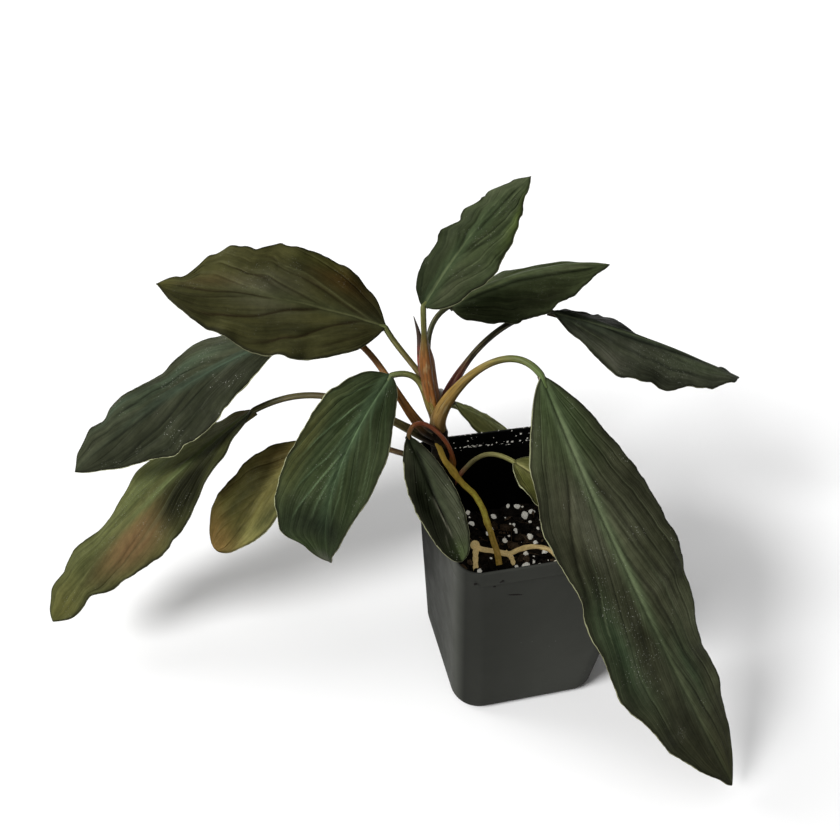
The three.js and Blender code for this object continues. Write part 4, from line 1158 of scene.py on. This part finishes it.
def make_new_leaf():
    """The rolled next leaf: one turn of blade whose free edge shows as a step"""
    def radius_at(share, angle):
        roll = 1 + 0.22 * ((angle + 2.4 * share) % TURN) / TURN
        return (1.35 * (1 - share ** 2) + 0.1) * roll

    rows = [(0, 240, 70, 40), (45, 170, 35, 25), (65, 30, 16, 14), (100, 12, 11, 9)]
    material = root_paint("new_leaf_skin", rows, (40, 30, 18))
    tube = sweep(spline(NEW_LEAF, 70), radius_at, 40)
    make_tubes("new_leaf_spike", [tube], material, "new_leaf")


# Pot and soil
def wall_half(z):
    return blend(BASE_HALF, WALL_TOP_HALF, z / POT_HEIGHT)


def square_ring(half, corner, z):
    """Points of a square with round corners, with spare points along its sides"""
    ring = []
    inset = half - corner
    for side in range(4):
        start = side * math.pi / 2
        middle = start + math.pi / 4
        x, y = math.copysign(inset, math.cos(middle)), math.copysign(inset, math.sin(middle))
        for angle in (start + turn for turn in quarter(POT_CORNER_STEPS)):
            ring.append((x + corner * math.cos(angle), y + corner * math.sin(angle), z))
        here = np.array(ring[-1])
        along = np.array([-math.sin(angle), math.cos(angle), 0]) * 2 * inset
        ring += [tuple(here + along * step / POT_SIDE_STEPS) for step in range(1, POT_SIDE_STEPS)]
    return ring


def wall_ring(z, inset):
    corner = blend(BASE_CORNER, RIM_CORNER, z / POT_HEIGHT)
    return square_ring(wall_half(z) - inset, corner - inset, z)


def quarter(steps):
    return [k / steps * math.pi / 2 for k in range(steps + 1)]


def pot_profile():
    """Heights and insets up the outside, over the rolled lip and down the inside"""
    lip_foot = POT_HEIGHT - LIP_HEIGHT
    inner_lip = LIP_WALL - LIP_PROUD - 0.4
    foot = [(FOOT_ROUND * (1 - math.sin(a)), FOOT_ROUND * (1 - math.cos(a))) for a in quarter(7)]
    wall = [(z, 0) for z in np.linspace(FOOT_ROUND + 4, lip_foot - 0.7, 16)]
    lip = [(lip_foot + z, inset) for z, inset in
           ((-0.35, 0), (-0.2, -0.06), (-0.05, -0.3), (0.1, -0.44), (0.4, -LIP_PROUD))]
    lip.append((POT_HEIGHT - 3, -LIP_PROUD))
    lip += [(POT_HEIGHT - 0.5 + 0.5 * math.sin(a), -LIP_PROUD + 0.5 * (1 - math.cos(a))) for a in quarter(5)]
    lip += [(POT_HEIGHT - 0.3 * (1 - math.cos(a)), inner_lip - 0.3 * (1 - math.sin(a))) for a in quarter(4)]
    ledge = [(POT_HEIGHT - LIP_HEIGHT + z, inset) for z, inset in
             ((0.15, inner_lip), (-0.05, inner_lip + 0.05), (-0.15, WALL - 0.1), (-0.35, WALL))]
    inside = [(z, WALL) for z in np.linspace(lip_foot - 4, FLOOR_THICKNESS + 3, 12)]
    floor = [(FLOOR_THICKNESS + 2 - 2 * math.sin(a), WALL + 2 * (1 - math.cos(a))) for a in quarter(4)]
    return foot[::-1] + wall + lip + ledge + inside + floor[1:]


def cut_drains(piece):
    """Cuts the four drain holes through the pot's floor for good"""
    tubes = []
    for x in (-DRAIN_OFFSET, DRAIN_OFFSET):
        for y in (-DRAIN_OFFSET, DRAIN_OFFSET):
            path = np.array([[x, y, z] for z in (-3, 0.2, 2, 6)], float)
            tubes.append(sweep(path, lambda s, a: DRAIN_RADIUS, 40, (1, 0, 0)))
    points, faces, _ = joined(tubes)
    cutters = placed("drain_cutters", new_mesh("drain_cutters", points, faces))
    modifier = piece.modifiers.new("cut", "BOOLEAN")
    modifier.object = cutters
    modifier.operation = "DIFFERENCE"
    modifier.solver = "EXACT"
    shown = piece.evaluated_get(bpy.context.evaluated_depsgraph_get())
    cut = bpy.data.meshes.new_from_object(shown)
    piece.modifiers.clear()
    piece.data = cut
    bpy.data.objects.remove(cutters)


def make_pot():
    """The moulded pot: tapered square wall, lip band, rounded foot and drain holes"""
    rings = np.array([wall_ring(z, inset) for z, inset in pot_profile()])
    points = rings.reshape(-1, 3)
    pot = make_piece("pot_shell", points, ring_body(rings), pot_paint(), ["pot"], None, POT_SHARP)
    cut_drains(pot)
    pot.data.set_sharp_from_angle(angle=math.radians(POT_SHARP))


def soil_relief(x, y):
    waves = np.sin(x * 0.41 + 1.3) * np.cos(y * 0.37) + 0.6 * np.sin(x * 0.83 - y * 0.71)
    return SOIL_TOP + 0.7 * waves


def make_soil_bed():
    """The block of mix, rough on top, with its sides just inside the pot's wall"""
    half = wall_half(SOIL_TOP) - WALL - 0.35
    line = np.linspace(-half, half, SOIL_GRID)
    x, y = np.meshgrid(line, line, indexing="ij")
    flat = np.stack([x.ravel(), y.ravel(), 0 * x.ravel()], 1)
    rough = uneven(flat, 0.35, 3, 1.1) + uneven(flat, 0.22, 4, 2.6)
    z = soil_relief(x, y) + rough.reshape(x.shape) - 0.35
    corner = RIM_CORNER - WALL
    side = half - corner
    over = [np.maximum(np.abs(v) - side, 0) for v in (x, y)]
    away = np.hypot(*over)
    pull = np.where(away > corner, corner / np.maximum(away, 1e-6), 1)
    x, y = (np.sign(v) * (np.minimum(np.abs(v), side) + past * pull) for v, past in zip((x, y), over))
    top = np.stack([x, y, z], -1).reshape(-1, 3)
    border = grid_border(SOIL_GRID, SOIL_GRID)
    low = top[border].copy()
    low[:, :2] *= (wall_half(FLOOR_THICKNESS) - WALL - 2.6) / half
    low[:, 2] = FLOOR_THICKNESS + 0.4
    foot = len(top) + np.arange(len(border))
    sides = np.stack([border, foot, np.roll(foot, -1), np.roll(border, -1)], 1)
    faces = grid_faces(SOIL_GRID, SOIL_GRID)[:, ::-1].tolist() + sides[:, ::-1].tolist() + [foot.tolist()]
    make_piece("soil_bed", np.concatenate([top, low]), faces, soil_paint(), ["soil"], None, 180)


def round_lump(size, rough, seed, level=2):
    """An uneven lump from a divided icosahedron, as points and faces"""
    shape = bmesh.new()
    bmesh.ops.create_icosphere(shape, subdivisions=level, radius=1)
    points = np.array([v.co for v in shape.verts])
    faces = [[v.index for v in face.verts] for face in shape.faces]
    shape.free()
    points = points * (1 + uneven(points, rough, seed, 2.2))[:, None]
    return points * size, faces


def scattered(count, seed):
    """Random places on the soil's top, inside the pot's wall, with the generator they come from"""
    rng = random.Random(seed)
    half = wall_half(SOIL_TOP) - WALL - 1.6
    places = []
    while len(places) < count:
        x, y = rng.uniform(-half, half), rng.uniform(-half, half)
        beyond = [max(abs(v) - (half - RIM_CORNER), 0) for v in (x, y)]
        if math.hypot(*beyond) < RIM_CORNER - 1:
            places.append((x, y, rng))
    return places


def turned(points, rng, lean=0.5):
    """Points turned a random way round and leaned a little"""
    about = Matrix.Rotation(rng.uniform(0, TURN), 3, "Z") @ Matrix.Rotation(rng.gauss(0, lean), 3, "X")
    return points @ np.array(about).T


def make_bark():
    """Chips and crumbs of bark, most of them dark, lying at all angles"""
    grains = []
    for k, (x, y, rng) in enumerate(scattered(BARK_COUNT, 11)):
        size = 0.45 + 1.5 * rng.random() ** 2.2
        points, faces = round_lump(size, 0.55, 100 + k)
        points = turned(points * (1.5, 0.85, 0.5), rng, 0.6)
        z = soil_relief(x, y) + 0.25 * size + rng.uniform(-0.3, 0.5)
        grains.append((points + (x, y, z), faces, rng.random() ** 1.6))
    make_grains("soil_bark_chips", grains, bark_paint(), 32)


def make_perlite():
    """White and yellowish grains, some where the soil shows in front of the stem"""
    rng_size = random.Random(5)
    spots = [(x, y, size, random.Random(k)) for k, (x, y, size) in enumerate(PERLITE_SPOTS)]
    for x, y, rng in scattered(PERLITE_COUNT, 23):
        spots.append((x, y, 0.25 + 0.75 * rng_size.random() ** 2, rng))
    grains = []
    for k, (x, y, size, rng) in enumerate(spots):
        points, faces = round_lump(size, 0.3, 900 + k, 3)
        points = turned(points * (1.1, 0.9, 0.8), rng)
        z = soil_relief(x, y) + 0.55 * size + 0.35
        grains.append((points + (x, y, z), faces, rng.random()))
    make_grains("soil_perlite", grains, perlite_paint(), 60)


def make_fibres():
    """Short dark coir fibres lying across the mix"""
    limit = wall_half(SOIL_TOP) - WALL - 1.2
    t = np.linspace(-0.5, 0.5, 14)
    grains = []
    for x, y, rng in scattered(FIBRE_COUNT, 31):
        way = rng.uniform(0, TURN)
        length = rng.uniform(3, 8)
        along = t * length
        off = rng.uniform(-0.6, 0.6) * length * (t ** 2)
        px = np.clip(x + along * math.cos(way) - off * math.sin(way), -limit, limit)
        py = np.clip(y + along * math.sin(way) + off * math.cos(way), -limit, limit)
        pz = soil_relief(px, py) + 0.6 + 0.5 * np.cos(t * math.pi)
        points, faces, _ = sweep(np.stack([px, py, pz], 1), lambda s, a: 0.11, 6)
        grains.append((points, faces, 0.8 + 0.2 * rng.random()))
    make_grains("soil_fibres", grains, bark_paint(), 180)


def wall_lump(x, z, size, seed, inside=False, flat=0.35):
    """A small lump lying flat against the outside of the front wall or the inside of the back wall"""
    lip = z > POT_HEIGHT - LIP_HEIGHT
    y = wall_half(z) - WALL + LIP_LEDGE * lip if inside else -wall_half(z) - LIP_PROUD * lip
    points, faces = round_lump(size, 0.35, seed)
    return points * (1, flat, 0.8) + (x, y, z), faces


def make_crumbs():
    """Dark crumbs of mix and one dark scuff on the front of the pot"""
    lumps = [wall_lump(x, z, size, k) for k, (x, z, size) in enumerate(FRONT_CRUMBS)]
    for k in range(9):
        along = k / 8
        size = 0.42 * (1 - abs(2 * along - 1) ** 3) + 0.1
        x, z = (blend(first, last, along) for first, last in zip(*SCUFF_ENDS))
        lumps.append(wall_lump(x, z, size, 20 + k, flat=0.15))
    make_grains("pot_crumbs", [(*lump, 0) for lump in lumps], bark_paint(), 60)


def make_dust():
    """Pale grains caught on the ledge under the lip at the back, and on the rim there"""
    rng = random.Random(77)
    grains = []
    for k in range(LEDGE_GRAINS):
        x = rng.uniform(-19, 20) if k % 3 else rng.gauss(-11, 2.2)
        z = rng.gauss(78.6, 0.35) if k % 4 else rng.uniform(78, 83.5)
        lump = wall_lump(x, z, 0.12 + 0.48 * rng.random() ** 3, 40 + k, True)
        grains.append((*lump, (40 + k) % 7 / 7 * 0.5))
    for k in range(RIM_GRAINS):
        x = rng.uniform(-26, 24)
        points, faces = round_lump(0.12 + 0.3 * rng.random() ** 2, 0.35, 400 + k)
        at = (x, wall_half(POT_HEIGHT) - 0.2 + rng.uniform(-0.4, 0.5), POT_HEIGHT + 0.05)
        grains.append((points + at, faces, 0.15))
    make_grains("pot_dust", grains, perlite_paint(), 60)


# Stage
def make_floor():
    corners = [(-1, -1, 0), (1, -1, 0), (1, 1, 0), (-1, 1, 0)]
    floor = placed("floor", new_mesh("floor", np.array(corners) * FLOOR_HALF, [(0, 1, 2, 3)]))
    floor.data.materials.append(floor_paint())


def make_suns():
    for name, (heading, height, strength, spread) in SUNS.items():
        lamp = bpy.data.lights.new(name, "SUN")
        lamp.energy = strength
        lamp.angle = math.radians(spread)
        way, lift = math.radians(heading), math.radians(height)
        shine = Vector((math.cos(way) * math.cos(lift), math.sin(way) * math.cos(lift), -math.sin(lift)))
        placed(name, lamp).rotation_euler = shine.to_track_quat("-Z", "Y").to_euler()


def make_sky():
    """The uneven sky, brightest one way"""
    world = bpy.data.worlds.new("sky")
    world.use_nodes = True
    sky = Nodes(world.node_tree)
    toward = sky.node("ShaderNodeVectorMath", "Value", dict(operation="DOT_PRODUCT"), {
        0: sky.node("ShaderNodeTexCoord", "Generated"), 1: SKY_BRIGHT_WAY})
    background = world.node_tree.nodes["Background"].inputs
    sky.put(background["Color"], (1, 1, 1))
    sky.put(background["Strength"], toward.spread(-0.5, 1, SKY_LOW, SKY_HIGH))
    bpy.context.scene.world = world


def make_camera():
    """The camera as it stood for the photograph, leaning by its roll"""
    heading, dip, roll = (math.radians(v) for v in (CAMERA_HEADING, CAMERA_DIP, CAMERA_ROLL))
    ahead = Vector((math.sin(heading) * math.cos(dip), math.cos(heading) * math.cos(dip), -math.sin(dip)))
    level = Vector((math.cos(heading), -math.sin(heading), 0))
    above = level.cross(ahead)
    right = level * math.cos(roll) + above * math.sin(roll)
    up = above * math.cos(roll) - level * math.sin(roll)
    lens = bpy.data.cameras.new("camera")
    lens.lens = CAMERA_LENS
    lens.sensor_width = CAMERA_SENSOR
    lens.clip_start = 0.01
    camera = placed("camera", lens)
    turn = Matrix((right, up, -ahead)).transposed()
    camera.matrix_world = Matrix.Translation(CAMERA_PLACE) @ turn.to_4x4()
    bpy.context.scene.camera = camera


make_camera()
make_suns()
make_sky()
make_floor()
make_pot()
make_soil_bed()
make_bark()
make_perlite()
make_fibres()
make_crumbs()
make_dust()
make_stem()
make_prop_root()
make_surface_roots()
make_new_leaf()
for number, (leaf_name, leaf_row) in enumerate(LEAVES.items()):
    leaf_form = SimpleNamespace(name=leaf_name, **dict(zip(LEAF_FIELDS, leaf_row)))
    make_blade(leaf_form, number + 1)
    make_stalk(leaf_form)
bpy.context.scene.view_settings.view_transform = "Standard"
